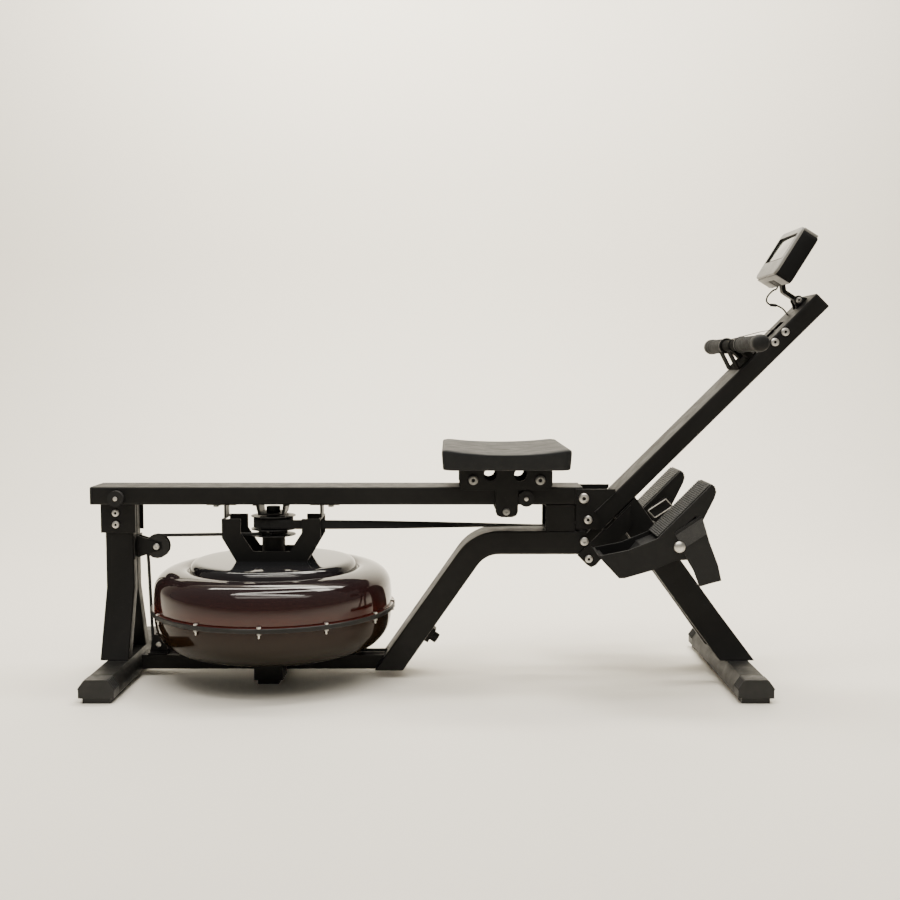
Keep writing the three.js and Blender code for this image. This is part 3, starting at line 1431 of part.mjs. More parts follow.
cordPath.push(new THREE.Vector3(
  anchorX - (knobHeight + gap) * fallX - cordRadius, 0, anchorZ + (knobHeight + gap) * fallZ - mainWall
    * 2,
));
piece("bungee_cord", roundTube(cordPath, cordRadius, cordSides), rubber, 0.85);

// Cord pulleys and their brackets
function pulley(cordCentre) {
  const rim = cordCentre + pulleyRimHeight;
  const floor = cordCentre - cordRadius - pulleySlack;
  const floorHalf = cordRadius * pulleyFloorShare;
  const groove = cordRadius + pulleySlack;
  return turned([
    [pulleyPinRadius + gap, -pulleyHalfWidth], [rim, -pulleyHalfWidth], [rim, -pulleyHalfWidth + gap * 3],
    [cordCentre, -groove - gap], [floor, -floorHalf], [floor, floorHalf], [cordCentre, groove + gap],
    [rim, pulleyHalfWidth - gap * 3], [rim, pulleyHalfWidth], [pulleyPinRadius + gap, pulleyHalfWidth],
    [pulleyPinRadius + gap, -pulleyHalfWidth],
  ]);
}
piece("upper_pulley", along(pulley(upperCord), upperPulleyX, upperPulleyZ), plastic, 0.5);
piece("lower_pulley", along(pulley(lowerCord), lowerPulleyX, lowerPulleyZ), plastic, 0.5);
const cheekIn = pulleyHalfWidth + gap;
const cheekOut = cheekIn + bracketThickness;
const legFrontX = rearLegX + rearLegLength / 2 + gap;
const upperFoot = block(
  legFrontX, legFrontX + bracketThickness, -rearLegWidth, rearLegWidth,
  upperPulleyZ - upperBracketHeight / 2, upperPulleyZ + upperBracketHeight / 2,
);
const upperCheek = sideways(
  [
    [legFrontX, upperPulleyZ - upperBracketHeight / 2], [legFrontX + upperBracketReach,
      upperPulleyZ - pulleyHalfWidth],
    [legFrontX + upperBracketReach, upperPulleyZ + pulleyHalfWidth], [legFrontX,
      upperPulleyZ + upperBracketHeight / 2],
  ],
  cheekIn, cheekOut,
);
const pinOut = cheekOut + bracketThickness;
piece(
  "upper_pulley_bracket",
  join(
    upperFoot, upperCheek, mirrored(upperCheek),
    rod(upperPulleyX, upperPulleyZ, pulleyPinRadius, -pinOut, pinOut),
  ),
  paint, 0.4, 0.3,
);
const lowerFootZ = baseTopZ + gap;
const lowerCheek = join(
  sideways(
    [
      [lowerPulleyX - lowerBracketReach, lowerFootZ], [lowerPulleyX + lowerBracketReach, lowerFootZ],
      [lowerPulleyX + lowerBracketReach / 2, lowerBracketTopZ], [lowerPulleyX - lowerBracketReach / 2,
        lowerBracketTopZ],
    ],
    cheekIn, cheekOut,
  ),
  block(
    lowerPulleyX - lowerBracketReach, lowerPulleyX + lowerBracketReach, cheekIn, cheekOut
      + lowerBracketFoot,
    lowerFootZ, lowerFootZ + bracketThickness,
  ),
);
piece(
  "lower_pulley_bracket",
  join(
    lowerCheek, mirrored(lowerCheek),
    rod(lowerPulleyX, lowerPulleyZ, pulleyPinRadius, -pinOut, pinOut),
  ),
  paint, 0.4, 0.3,
);

// Seat pad: a contoured cushion through rings of rounded outlines
const padX = padRearX + padLength / 2;
const padRings = padRingShares.map(([wide, high]) => {
  const ringPoints = [];
  for (let i = 0; i < padRingSides; i += 1) {
    const angle = (2 * Math.PI * i) / padRingSides;
    const [c, s] = [Math.cos(angle), Math.sin(angle)];
    const reach = wide / (Math.abs(c) ** padPower + Math.abs(s) ** padPower) ** (1 / padPower);
    const [a, b] = [c * reach, s * reach];
    const lip = Math.min(Math.abs(a) ** 2 + Math.abs(b) ** 4 / 2, 1);
    const dip = high > 0.9 ? padDip * (1 - lip) : 0;
    ringPoints.push(new THREE.Vector3(
      padX + (a * padLength) / 2, (b * padWidth) / 2, padBottomZ + high * padHeight - dip,
    ));
  }
  return ringPoints;
});
piece("seat_pad", loft(padRings), rubber, 0.7, 0, seatGroup);

// Seat carriage with its axle bolts
const carriageOuterY = carriageInnerY + carriageWall;
const rollerZ = railTopZ + gap + rollerRadius;
const lowRollerZ = railBottomZ - gap - lowRollerRadius;
const carriageSide = join(
  sideways(
    roundedRectangle(carriageRearX, carriageFrontX, carriageBottomZ, carriageTopZ, tabCorner),
    carriageInnerY, carriageOuterY,
  ),
  sideways(
    roundedRectangle(tabRearX, tabRearX + tabWidth, tabBottomZ, carriageBottomZ + tabCorner, tabCorner),
    carriageInnerY, carriageOuterY,
  ),
  rod(lowRollerX, lowRollerZ, rollerAxleRadius, lowRollerInnerY, carriageOuterY),
  ...[rollerRearX, rollerFrontX].map((x) => rod(
    x, rollerZ, rollerBoltRadius, carriageOuterY - gap, carriageOuterY + rollerBoltHead,
  )),
);
const sideHoles = carriageHoleShares.map((share) => rod(
  carriageRearX + (carriageFrontX - carriageRearX) * share, carriageHoleZ, carriageHoleRadius,
  -carriageOuterY - overrun, carriageOuterY + overrun, roundSides,
));
const carriageTop = block(
  carriageRearX + tabCorner, carriageFrontX - tabCorner, -carriageOuterY, carriageOuterY,
  carriageTopZ - carriageTopThickness, carriageTopZ,
);
const rollerAxles = [rollerRearX, rollerFrontX].map((x) => rod(
  x, rollerZ, rollerAxleRadius, -carriageOuterY, carriageOuterY,
));
piece(
  "seat_carriage",
  join(cut(join(carriageSide, mirrored(carriageSide)), ...sideHoles), carriageTop, ...rollerAxles),
  paint, 0.4, 0.3, seatGroup,
);
const wheelBore = rollerAxleRadius + gap;
const wheelOut = rollerHalfTrack + rollerTread / 2;
const wheelIn = rollerHalfTrack - rollerTread / 2;
const wheelSet = turned([
  [wheelBore, -wheelOut], [rollerRadius, -wheelOut], [rollerRadius, -wheelIn], [rollerSleeveRadius,
    -wheelIn],
  [rollerSleeveRadius, wheelIn], [rollerRadius, wheelIn], [rollerRadius, wheelOut], [wheelBore, wheelOut],
  [wheelBore, -wheelOut],
]);
piece("seat_roller_rear", along(wheelSet, rollerRearX, rollerZ), plastic, 0.5, 0, seatGroup);
piece("seat_roller_front", along(wheelSet, rollerFrontX, rollerZ), plastic, 0.5, 0, seatGroup);
const lowWheel = moved(
  along(ring(wheelBore, lowRollerRadius, -lowRollerWidth, 0), lowRollerX, lowRollerZ),
  0, lowRollerInnerY, 0,
);
piece("lower_roller_left", lowWheel, plastic, 0.5, 0, seatGroup);
piece("lower_roller_right", mirrored(lowWheel), plastic, 0.5, 0, seatGroup);

// Monitor, its link and its wire
const monitorHalf = monitorWidth / 2;
function monitorSlab(fromX, toX, inset) {
  const outline = roundedRectangle(
    -monitorHalf + inset, monitorHalf - inset, monitorBottom + inset, monitorTop - inset, monitorCorner,
  );
  return lengthways(outline, fromX, toX);
}
const notch = join(
  rod(0, 0, monitorNotchRadius, -monitorNotchHalfWidth, monitorNotchHalfWidth, roundSides),
  block(
    -monitorNotchRadius, overrun, -monitorNotchHalfWidth, monitorNotchHalfWidth, monitorBottom - overrun, 0,
  ),
);
const hingePin = rod(0, 0, earAxleRadius, -monitorNotchHalfWidth - gap, monitorNotchHalfWidth + gap);
piece(
  "monitor_housing",
  join(cut(monitorSlab(monitorSplit, monitorRear, 0), notch), hingePin),
  plastic, 0.5, 0, monitorGroup,
);
const screenBottom = monitorBottom + (monitorTop - monitorBottom) * screenShare;
const screenCut = lengthways(
  roundedRectangle(
    -monitorHalf + screenMargin, monitorHalf - screenMargin, screenBottom, monitorTop - screenMargin, monitorCorner / 2,
  ),
  monitorFront - overrun, monitorFront + screenDepth,
);
piece(
  "monitor_screen",
  cut(monitorSlab(monitorFront, monitorSplit - gap, 0), screenCut),
  0xb4b6b8, 0.4, 0.2, monitorGroup,
);
const [earX, earZ] = toWorld(earU, earN);
function capsule(x0, z0, x1, z1, radius) {
  const [dx, dz] = [x1 - x0, z1 - z0];
  const length = Math.hypot(dx, dz);
  const [nx, nz] = [(-dz * radius) / length, (dx * radius) / length];
  return join(
    sideways([[x0 + nx, z0 + nz], [x0 - nx, z0 - nz], [x1 - nx, z1 - nz], [x1 + nx, z1 + nz]],
      -linkHalfWidth, linkHalfWidth),
    rod(x0, z0, radius, -linkHalfWidth, linkHalfWidth),
    rod(x1, z1, radius, -linkHalfWidth, linkHalfWidth),
  );
}
piece(
  "monitor_link",
  cut(
    join(
      capsule(earX, earZ, linkKneeX, linkKneeZ, linkRadius),
      capsule(linkKneeX, linkKneeZ, monitorPivotX, monitorPivotZ, linkRadius),
      rod(earX, earZ, linkEyeRadius, -linkHalfWidth, linkHalfWidth, roundSides),
      rod(monitorPivotX, monitorPivotZ, linkEyeRadius, -linkHalfWidth, linkHalfWidth, roundSides),
    ),
    rod(earX, earZ, earAxleRadius + gap, -linkHalfWidth - overrun, linkHalfWidth + overrun),
    rod(monitorPivotX, monitorPivotZ, earAxleRadius + gap, -linkHalfWidth - overrun,
      linkHalfWidth + overrun),
  ),
  plastic, 0.5,
);
const [holeX, holeZ] = toWorld(wireHoleU, armHalf - armWall);
const wirePoints = placed(wireShares, monitorPivotX, monitorPivotZ, wireFall, wireFall);
const wirePath = wirePoints.map(([x, z]) => new THREE.Vector3(x, wireY, z));
wirePath.push(new THREE.Vector3(holeX - 2 * wireRadius, wireY, holeZ + 2 * wireRadius));
wirePath.push(new THREE.Vector3(holeX, wireY, holeZ));
piece("sensor_wire", roundTube(wirePath, wireRadius, cordSides), plastic, 0.6);

export default group;
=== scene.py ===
import math
import bmesh
import bpy
from mathutils import Matrix, Vector


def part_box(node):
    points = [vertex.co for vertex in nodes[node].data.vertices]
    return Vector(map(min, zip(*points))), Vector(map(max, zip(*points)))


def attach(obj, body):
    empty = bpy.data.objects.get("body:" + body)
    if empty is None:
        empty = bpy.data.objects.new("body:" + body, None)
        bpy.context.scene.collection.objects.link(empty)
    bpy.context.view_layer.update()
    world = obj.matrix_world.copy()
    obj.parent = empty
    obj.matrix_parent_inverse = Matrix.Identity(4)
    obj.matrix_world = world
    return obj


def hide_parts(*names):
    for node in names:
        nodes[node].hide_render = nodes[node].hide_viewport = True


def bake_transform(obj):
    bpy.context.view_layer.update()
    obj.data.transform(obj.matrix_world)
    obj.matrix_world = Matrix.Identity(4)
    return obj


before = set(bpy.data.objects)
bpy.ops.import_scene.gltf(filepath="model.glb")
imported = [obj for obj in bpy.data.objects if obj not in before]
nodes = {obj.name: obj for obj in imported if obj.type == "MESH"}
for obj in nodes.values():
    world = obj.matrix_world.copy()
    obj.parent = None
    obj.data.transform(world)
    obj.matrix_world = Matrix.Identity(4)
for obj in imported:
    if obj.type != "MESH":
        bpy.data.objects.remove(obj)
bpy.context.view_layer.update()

# The camera looks at the machine from its side, from a little above the seat, and slightly down.
LENS_MM = 45.4
SENSOR_MM = 36
CAMERA_PLACE = (-0.016, -2.440, 0.662)
CAMERA_PITCH = math.radians(85.9)

camera_data = bpy.data.cameras.new("camera")
camera_data.lens = LENS_MM
camera_data.sensor_width = SENSOR_MM
camera_data.sensor_fit = "HORIZONTAL"
camera = bpy.data.objects.new("camera", camera_data)
camera.location = CAMERA_PLACE
camera.rotation_euler = (CAMERA_PITCH, 0, 0)
bpy.context.scene.collection.objects.link(camera)
bpy.context.scene.camera = camera


# Materials
class Finish:
    """A procedural material. Textures read the object's own coordinates in metres, or its UV in metres."""

    def __init__(self, name, **sockets):
        self.material = bpy.data.materials.new(name)
        self.material.use_nodes = True
        self.tree = self.material.node_tree
        self.shader = self.tree.nodes["Principled BSDF"]
        self.sources = {}
        for key, value in sockets.items():
            self.shader.inputs[key.replace("_", " ")].default_value = value

    def node(self, kind, inputs=(), **settings):
        made = self.tree.nodes.new(kind)
        for key, value in settings.items():
            setattr(made, key, value)
        for key, value in dict(inputs).items():
            if isinstance(value, bpy.types.NodeSocket):
                self.tree.links.new(value, made.inputs[key])
            else:
                made.inputs[key].default_value = value
        return made

    def place(self, kind="Object"):
        if kind not in self.sources:
            self.sources[kind] = self.node("ShaderNodeTexCoord").outputs[kind]
        return self.sources[kind]

    def stretched(self, scale, kind):
        return self.node("ShaderNodeMapping", {"Vector": self.place(kind), "Scale": scale}).outputs["Vector"]

    def noise(self, scale, detail=3.0, roughness=0.5):
        inputs = {"Vector": self.place(), "Scale": scale, "Detail": detail, "Roughness": roughness}
        return self.node("ShaderNodeTexNoise", inputs).outputs["Fac"]

    def cells(self, scale):
        return self.node("ShaderNodeTexVoronoi", {"Vector": self.place(), "Scale": scale}).outputs["Distance"]

    def waves(self, scale, direction, kind="UV", source=None):
        inputs = {"Vector": source or self.place(kind), "Scale": scale}
        made = self.node("ShaderNodeTexWave", inputs, bands_direction=direction, wave_profile="SIN")
        return made.outputs["Fac"]

    def height(self, low, high):
        z = self.node("ShaderNodeSeparateXYZ", {"Vector": self.place()}).outputs["Z"]
        return self.spread(z, 0, 1, low, high)

    def ramp(self, factor, stops):
        made = self.node("ShaderNodeValToRGB", {"Fac": factor})
        elements = made.color_ramp.elements
        while len(elements) < len(stops):
            elements.new(0.5)
        for element, (position, colour) in zip(elements, stops):
            element.position = position
            element.color = (*colour, 1)
        return made.outputs["Color"]

    def spread(self, factor, low, high, start=0.3, end=0.7):
        """Maps factor's start to end, where most of a noise lies, to low to high."""
        inputs = {"Value": factor, "From Min": start, "From Max": end, "To Min": low, "To Max": high}
        return self.node("ShaderNodeMapRange", inputs).outputs["Result"]

    def maths(self, operation, a, b):
        return self.node("ShaderNodeMath", {0: a, 1: b}, operation=operation).outputs[0]

    def tinted(self, factor, under, over):
        made = self.node("ShaderNodeMix", {0: factor, 6: under, 7: over}, data_type="RGBA")
        return made.outputs[2]

    def set(self, key, socket):
        self.tree.links.new(socket, self.shader.inputs[key])
        return self

    def bump(self, socket, distance, strength=1.0):
        inputs = {"Height": socket, "Distance": distance, "Strength": strength}
        if self.shader.inputs["Normal"].is_linked:
            inputs["Normal"] = self.shader.inputs["Normal"].links[0].from_socket
        made = self.node("ShaderNodeBump", inputs)
        return self.set("Normal", made.outputs["Normal"])


def grey(value, warm=0.0):
    return (value * (1 + warm), value, value * (1 - warm))


def powder_coat(name, dark, light, shine=0.17, low=0.42, high=0.6):
    """Matte powder coat: orange peel, faint clouding, dust lying on it and paler rubbed flecks."""
    m = Finish(name, Specular_IOR_Level=shine)
    cloud = m.ramp(m.noise(9, 4), [(0.3, grey(dark, 0.04)), (0.72, grey(light, 0.02))])
    fleck = m.spread(m.noise(260, 2), 0, 0.5, 0.66, 0.76)
    m.set("Base Color", m.tinted(fleck, cloud, (*grey(light * 2.1), 1)))
    m.set("Roughness", m.spread(m.noise(34, 5, 0.65), low, high))
    m.bump(m.noise(1500, 2), 0.00012, 0.5).bump(m.noise(220, 2), 0.0002, 0.25)
    return m.material


def moulded(name, dark, light, low=0.38, high=0.55, grain=0.5, shine=0.3):
    """Moulded plastic with a spark-eroded grain."""
    m = Finish(name, Specular_IOR_Level=shine)
    m.set("Base Color", m.ramp(m.noise(14, 3), [(0.3, dark), (0.7, light)]))
    m.set("Roughness", m.spread(m.noise(55, 4), low, high))
    m.bump(m.cells(1100), 0.00015, grain).bump(m.noise(90, 2), 0.0002, 0.2)
    return m.material


def plated(name, colour, low, high):
    """Zinc or steel with fine turning marks and clouding."""
    m = Finish(name, Metallic=1.0)
    m.set("Base Color", m.ramp(m.noise(160, 3), [(0.3, tuple(c * 0.8 for c in colour)), (0.7, colour)]))
    m.set("Roughness", m.spread(m.noise(420, 3), low, high))
    m.bump(m.noise(1900, 2), 0.00006, 0.5)
    return m.material


def rubber(name, dark, light):
    """Dull rubber with a fine, uneven skin."""
    m = Finish(name, Specular_IOR_Level=0.3)
    m.set("Base Color", m.ramp(m.noise(40, 4), [(0.3, grey(dark)), (0.7, grey(light))]))
    m.set("Roughness", m.spread(m.noise(80, 3), 0.62, 0.82))
    m.bump(m.noise(700, 3), 0.0002, 0.5)
    return m.material


def foam(name, dark, light):
    """Closed-cell foam sleeve: small pits and a rubbed sheen."""
    m = Finish(name, Specular_IOR_Level=0.1, Sheen_Weight=0.02, Sheen_Roughness=0.5)
    m.set("Base Color", m.ramp(m.noise(60, 5, 0.7), [(0.3, grey(dark)), (0.7, grey(light))]))
    m.set("Roughness", m.spread(m.noise(90, 3), 0.7, 0.9))
    m.bump(m.cells(900), 0.0004, 0.6).bump(m.noise(300, 3), 0.0004, 0.4)
    return m.material


def pad_skin(name):
    """The seat's leather-grained polyurethane skin."""
    m = Finish(name, Specular_IOR_Level=0.16, Sheen_Weight=0.02, Sheen_Roughness=0.4)
    stops = [(0.3, (0.0080, 0.0086, 0.0094)), (0.72, (0.0140, 0.0146, 0.0156))]
    m.set("Base Color", m.ramp(m.noise(11, 5, 0.6), stops))
    m.set("Roughness", m.spread(m.noise(30, 5, 0.6), 0.48, 0.66))
    m.bump(m.cells(430), 0.0005, 0.35).bump(m.noise(900, 3), 0.0003, 0.35).bump(m.noise(28, 2), 0.001, 0.2)
    return m.material


def woven(name, dark, light, across=1500.0, along=1100.0, sheen=0.15, shine=0.18):
    """Webbing: ribs along its length crossed by the weft, from the UV in metres."""
    m = Finish(name, Specular_IOR_Level=shine, Sheen_Weight=sheen, Sheen_Roughness=0.5)
    warp = m.waves(across / 6.283, "X")
    weft = m.waves(along / 6.283, "Y")
    weave = m.maths("MULTIPLY", warp, weft)
    cloud = m.noise(120, 4)
    tone = m.maths("ADD", m.maths("MULTIPLY", weave, 0.6), m.maths("MULTIPLY", cloud, 0.5))
    m.set("Base Color", m.ramp(tone, [(0.25, dark), (0.8, light)]))
    m.set("Roughness", m.spread(cloud, 0.7, 0.9))
    m.bump(weave, 0.0004, 0.7)
    return m.material


def braided(name, dark, light):
    """Braided sleeve of a cord, from the UV in metres."""
    m = Finish(name, Specular_IOR_Level=0.3, Sheen_Weight=0.15)
    one = m.waves(95, "DIAGONAL")
    other = m.waves(95, "DIAGONAL", source=m.stretched((-1, 1, 1), "UV"))
    braid = m.maths("MULTIPLY", one, other)
    m.set("Base Color", m.ramp(braid, [(0.1, dark), (0.7, light)]))
    m.set("Roughness", m.spread(m.noise(200, 3), 0.55, 0.75))
    m.bump(braid, 0.0005, 0.7)
    return m.material


def tinted_shell(name, foot, middle, top, low, high, clear, coat_weight, shine):
    """Gloss smoked polycarbonate, its colour changing with height as painted light and shade, with moulding flow and
    fine scuffs.
    """
    m = Finish(name, IOR=1.5, Transmission_Weight=clear, Coat_Weight=coat_weight, Coat_Roughness=0.05,
               Specular_IOR_Level=shine)
    rise = m.maths("ADD", m.height(low, high), m.spread(m.noise(7, 2), -0.06, 0.06))
    m.set("Base Color", m.ramp(rise, [(0.0, foot), (0.3, middle), (1.0, top)]))
    scuff = m.noise(55, 6, 0.7)
    m.set("Roughness", m.spread(scuff, 0.045, 0.13, 0.35, 0.8))
    m.bump(m.noise(16, 2), 0.0006, 0.12)
    return m.material


def lcd(name):
    """A switched-off liquid-crystal display: grey-green with a faint segment grid."""
    m = Finish(name, Coat_Weight=1.0, Coat_Roughness=0.03)
    grid = m.maths("MULTIPLY", m.waves(70, "Y", "Object"), m.waves(70, "Z", "Object"))
    m.set("Base Color", m.ramp(grid, [(0.2, (0.045, 0.05, 0.042)), (0.9, (0.06, 0.066, 0.055))]))
    m.set("Roughness", m.spread(m.noise(20, 3), 0.16, 0.26))
    m.bump(m.noise(300, 2), 0.00005, 0.3)
    return m.material


def plain_ground(name, colour, high):
    """Matte paper, barely clouded, for the floor and the backdrop."""
    m = Finish(name, Specular_IOR_Level=0.25)
    m.set("Base Color", m.ramp(m.noise(1.3, 4), [(0.3, colour), (0.7, tuple(c * 1.015 for c in colour))]))
    m.set("Roughness", m.spread(m.noise(9, 3), high - 0.08, high))
    return m.material


coat = powder_coat("coat", 0.0044, 0.0074)
# A matte copy of the frame's coat for the handle's cradle and bar; its darker base colour is painted shade.
shaded_matte_coat = powder_coat("shaded_matte_coat", 0.0036, 0.006, 0.03, 0.75, 0.9)
zinc = plated("zinc", (0.62, 0.60, 0.56), 0.32, 0.46)
# A darker, duller copy of the zinc, for the seat's bolts.
darker_dull_zinc = plated("darker_dull_zinc", (0.30, 0.295, 0.28), 0.42, 0.56)
steel = plated("steel", (0.72, 0.72, 0.72), 0.16, 0.28)
black_moulding = moulded("black_moulding", grey(0.005), grey(0.009))
monitor_moulding = moulded("monitor_moulding", grey(0.003), grey(0.005), 0.5, 0.65, 0.5, 0.1)
cap_moulding = moulded("cap_moulding", grey(0.010), grey(0.017), 0.42, 0.6)
silver_moulding = moulded("silver_moulding", (0.155, 0.152, 0.143), (0.19, 0.186, 0.175),
                          0.4, 0.52, 0.25, 0.2)
nylon = moulded("nylon", grey(0.008), grey(0.014), 0.35, 0.5, 0.3)
white_moulding = moulded("white_moulding", (0.50, 0.49, 0.46), (0.60, 0.59, 0.56), 0.35, 0.5, 0.3)
pedal_moulding = moulded("pedal_moulding", grey(0.005), grey(0.0088), 0.48, 0.65, 0.7, 0.2)
stop_rubber = rubber("stop_rubber", 0.004, 0.0075)
tread_rubber = rubber("tread_rubber", 0.014, 0.024)
grip_foam = foam("grip_foam", 0.0046, 0.0082)
grip_rubber = rubber("grip_rubber", 0.0038, 0.0065)
pad = pad_skin("pad")
drive_webbing = woven("drive_web", grey(0.006), grey(0.015), sheen=0.03)
# The handle's run of the strap is the same webbing made darker and without sheen: the darker colour is painted shade.
shaded_handle_webbing = woven("handle_web", grey(0.003), grey(0.007), sheen=0.0, shine=0.03)
foot_webbing = woven("foot_web", grey(0.008), grey(0.022), 900.0, 900.0)
velcro = woven("velcro", grey(0.03), grey(0.07), 2600.0, 2600.0)
cord_sleeve = braided("cord_sleeve", grey(0.007), grey(0.022))
wire_sleeve = rubber("wire_sleeve", 0.012, 0.018)
# The dome goes from red at its foot to neutral grey at its top: the red is the shell's tint, and the grey top is a
# painted reflection of the pale wall.
dome = tinted_shell("dome", (0.085, 0.011, 0.006), (0.034, 0.009, 0.008), (0.014, 0.015, 0.017),
                    0.153, 0.250, 0.4, 0.12, 0.3)
# The bowl is darker towards its bottom: painted shade under the tank.
bowl = tinted_shell("bowl", (0.008, 0.0062, 0.0032), (0.014, 0.0092, 0.0042), (0.022, 0.0088, 0.0045),
                    0.062, 0.151, 0.2, 0.0, 0.12)
display = lcd("display")


# Shapes. All lengths below are in millimetres, and become metres as a piece is made.
METRES = 0.001


class Shape:
    def __init__(self):
        self.points = []
        self.faces = []
        self.maps = []

    def add(self, points, faces, maps=None):
        start = len(self.points)
        self.points += [Vector(p) for p in points]
        self.maps += list(maps) if maps else [(0.0, 0.0)] * len(points)
        self.faces += [tuple(start + i for i in face) for face in faces]
        return self

    def piece(self, name, material, body, slot, replaced=(), bevel=0.0):
        """Makes the object."""
        mesh = bpy.data.meshes.new(name)
        mesh.from_pydata([p * METRES for p in self.points], [], self.faces)
        layer = mesh.uv_layers.new(name="UVMap")
        for loop in mesh.loops:
            u, v = self.maps[loop.vertex_index]
            layer.data[loop.index].uv = (u * METRES, v * METRES)
        made = bpy.data.objects.new(name, mesh)
        bpy.context.scene.collection.objects.link(made)
        bm = bmesh.new()
        bm.from_mesh(mesh)
        bmesh.ops.remove_doubles(bm, verts=bm.verts, dist=1e-6)
        bmesh.ops.recalc_face_normals(bm, faces=bm.faces)
        bm.to_mesh(mesh)
        bm.free()
        if bevel:
            rounded = made.modifiers.new("bevel", "BEVEL")
            rounded.width = bevel * METRES
            rounded.segments = 2
            rounded.angle_limit = math.radians(35)
        mesh.shade_smooth()
        mesh.set_sharp_from_angle(angle=math.radians(38))
        mesh.materials.append(material)
        if body:
            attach(made, body)
        if replaced:
            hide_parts(*replaced)
        return made


def turned(profile, matrix, sides, sweep=None):
    """A closed profile of (radius, height) turned about Z, then put in place by matrix."""
    count = len(profile)
    points = []
    for i in range(sides):
        angle = 2 * math.pi * i / sides
        for radius, height in profile:
            scale = sweep(angle, radius) if sweep else 1.0
            spot = Vector((radius * scale * math.cos(angle), radius * scale * math.sin(angle), height))
            points.append(matrix @ spot)
    faces = []
    for i in range(sides):
        j = (i + 1) % sides
        for k in range(count):
            n = (k + 1) % count
            if profile[k][0] < 1e-6 and profile[n][0] < 1e-6:
                continue
            faces.append((i * count + k, j * count + k, j * count + n, i * count + n))
    return points, faces


def facing(x, y, z, direction):
    """Places a turned piece at (x, y, z), its axis along direction."""
    turn = Vector((0, 0, 1)).rotation_difference(Vector(direction))
    return Matrix.Translation(Vector((x, y, z))) @ turn.to_matrix().to_4x4()


def hexagonal(angle, across):
    """How far a hexagon reaches at angle, where across is its half width over the flats."""
    return across / math.cos((angle + math.pi / 6) % (math.pi / 3) - math.pi / 6)


def dome_bolt(x, y, z, direction, radius, stem):
    """A button head on a stem that covers the solid's own head; a hexagon socket in its crown."""
    crown = radius * 0.36
    edge, socket, top = radius + 0.35, radius * 0.4, stem + crown
    floor = stem * 0.5 + crown * 0.2
    lip = socket * 1.12
    profile = [(0, floor), (socket, floor), (socket, top - 0.25), (lip, top)]
    steps = 8
    for i in range(1, steps + 1):
        angle = math.pi / 2 * i / steps
        profile.append((lip + (edge - lip) * math.sin(angle), stem + 0.5 + (crown - 0.5) * math.cos(angle)))
    profile += [(edge, stem + 0.2), (edge, 0), (0, 0)]

    def socket_sides(angle, r):
        return 1.0 if r > socket * 1.01 or r < 1e-6 else hexagonal(angle, 0.93)

    return turned(profile, facing(x, y, z, direction), 40, socket_sides)


def hex_nut(x, y, z, direction, radius, height, bore):
    """A nut with chamfered corners; bore is the hole's share of the radius."""
    profile = [(radius * bore, 0), (radius * 0.94, 0), (radius, height * 0.12), (radius, height * 0.86),
               (radius * 0.9, height), (radius * bore, height)]

    def nut_sides(angle, r):
        return 1.0 if r < radius * 0.8 else hexagonal(angle, 0.9)

    return turned(profile, facing(x, y, z, direction), 36, nut_sides)


def smooth_path(points, steps):
    """A Catmull-Rom curve through the points."""
    p = [Vector(q) for q in points]
    p = [p[0] * 2 - p[1]] + p + [p[-1] * 2 - p[-2]]
    path = []
    for a, b, c, d in zip(p, p[1:], p[2:], p[3:]):
        for i in range(steps):
            t = i / steps
            square, cube = a * 2 - b * 5 + c * 4 - d, b * 3 - a - c * 3 + d
            path.append(0.5 * (b * 2 + (c - a) * t + square * t * t + cube * t ** 3))
    path.append(p[-2])
    return path


def section_along(path, sides, section, closed=False):
    """Sweeps a closed section of (across, out) along path; sides gives each point's own across vector."""
    count = len(section)
    points, maps, faces = [], [], []
    travelled = 0.0
    edges = [0.0]
    for a, b in zip(section, section[1:] + section[:1]):
        edges.append(edges[-1] + math.dist(a, b))
    for i, spot in enumerate(path):
        before, after = path[max(i - 1, 0)], path[min(i + 1, len(path) - 1)]
        if closed:
            before, after = path[i - 1], path[(i + 1) % len(path)]
        forward = (after - before).normalized()
        across = sides(i, forward)
        across = (across - forward * across.dot(forward)).normalized()
        out = forward.cross(across)
        if i:
            travelled += (spot - path[i - 1]).length
        for k, (s, n) in enumerate(section):
            points.append(spot + across * s + out * n)
            maps.append((edges[k], travelled))
    rings = len(path)
    for i in range(rings if closed else rings - 1):
        j = (i + 1) % rings
        for k in range(count):
            n = (k + 1) % count
            faces.append((i * count + k, i * count + n, j * count + n, j * count + k))
    if not closed:
        faces.append(tuple(range(count - 1, -1, -1)))
        faces.append(tuple((rings - 1) * count + k for k in range(count)))
    return points, faces, maps


def tube(path, radius, sides, closed=False):
    """A round tube; its section is carried along the path without twisting."""
    last = None

    def carried(i, forward):
        nonlocal last
        if last is None:
            last = Vector((0, 0, 1)) if abs(forward.z) < 0.9 else Vector((1, 0, 0))
        last = (last - forward * last.dot(forward)).normalized()
        return last

    turns = [2 * math.pi * i / sides for i in range(sides)]
    section = [(radius * math.cos(angle), radius * math.sin(angle)) for angle in turns]
    return section_along([Vector(p) for p in path], carried, section, closed)


def ribbon(path, sides, width, gauge):
    """A flat strap with rounded selvedges; sides is its across vector, or gives one for each point."""
    w, g = width / 2, gauge / 2
    section = [(-w, -g * 0.3), (-w, g * 0.3), (-w + g, g), (-w * 0.5, g), (0, g), (w * 0.5, g), (w - g, g),
               (w, g * 0.3), (w, -g * 0.3), (w - g, -g), (w * 0.5, -g), (0, -g), (-w * 0.5, -g), (-w + g, -g)]
    across = sides if callable(sides) else (lambda i, forward: Vector(sides))
    return section_along([Vector(p) for p in path], across, section)


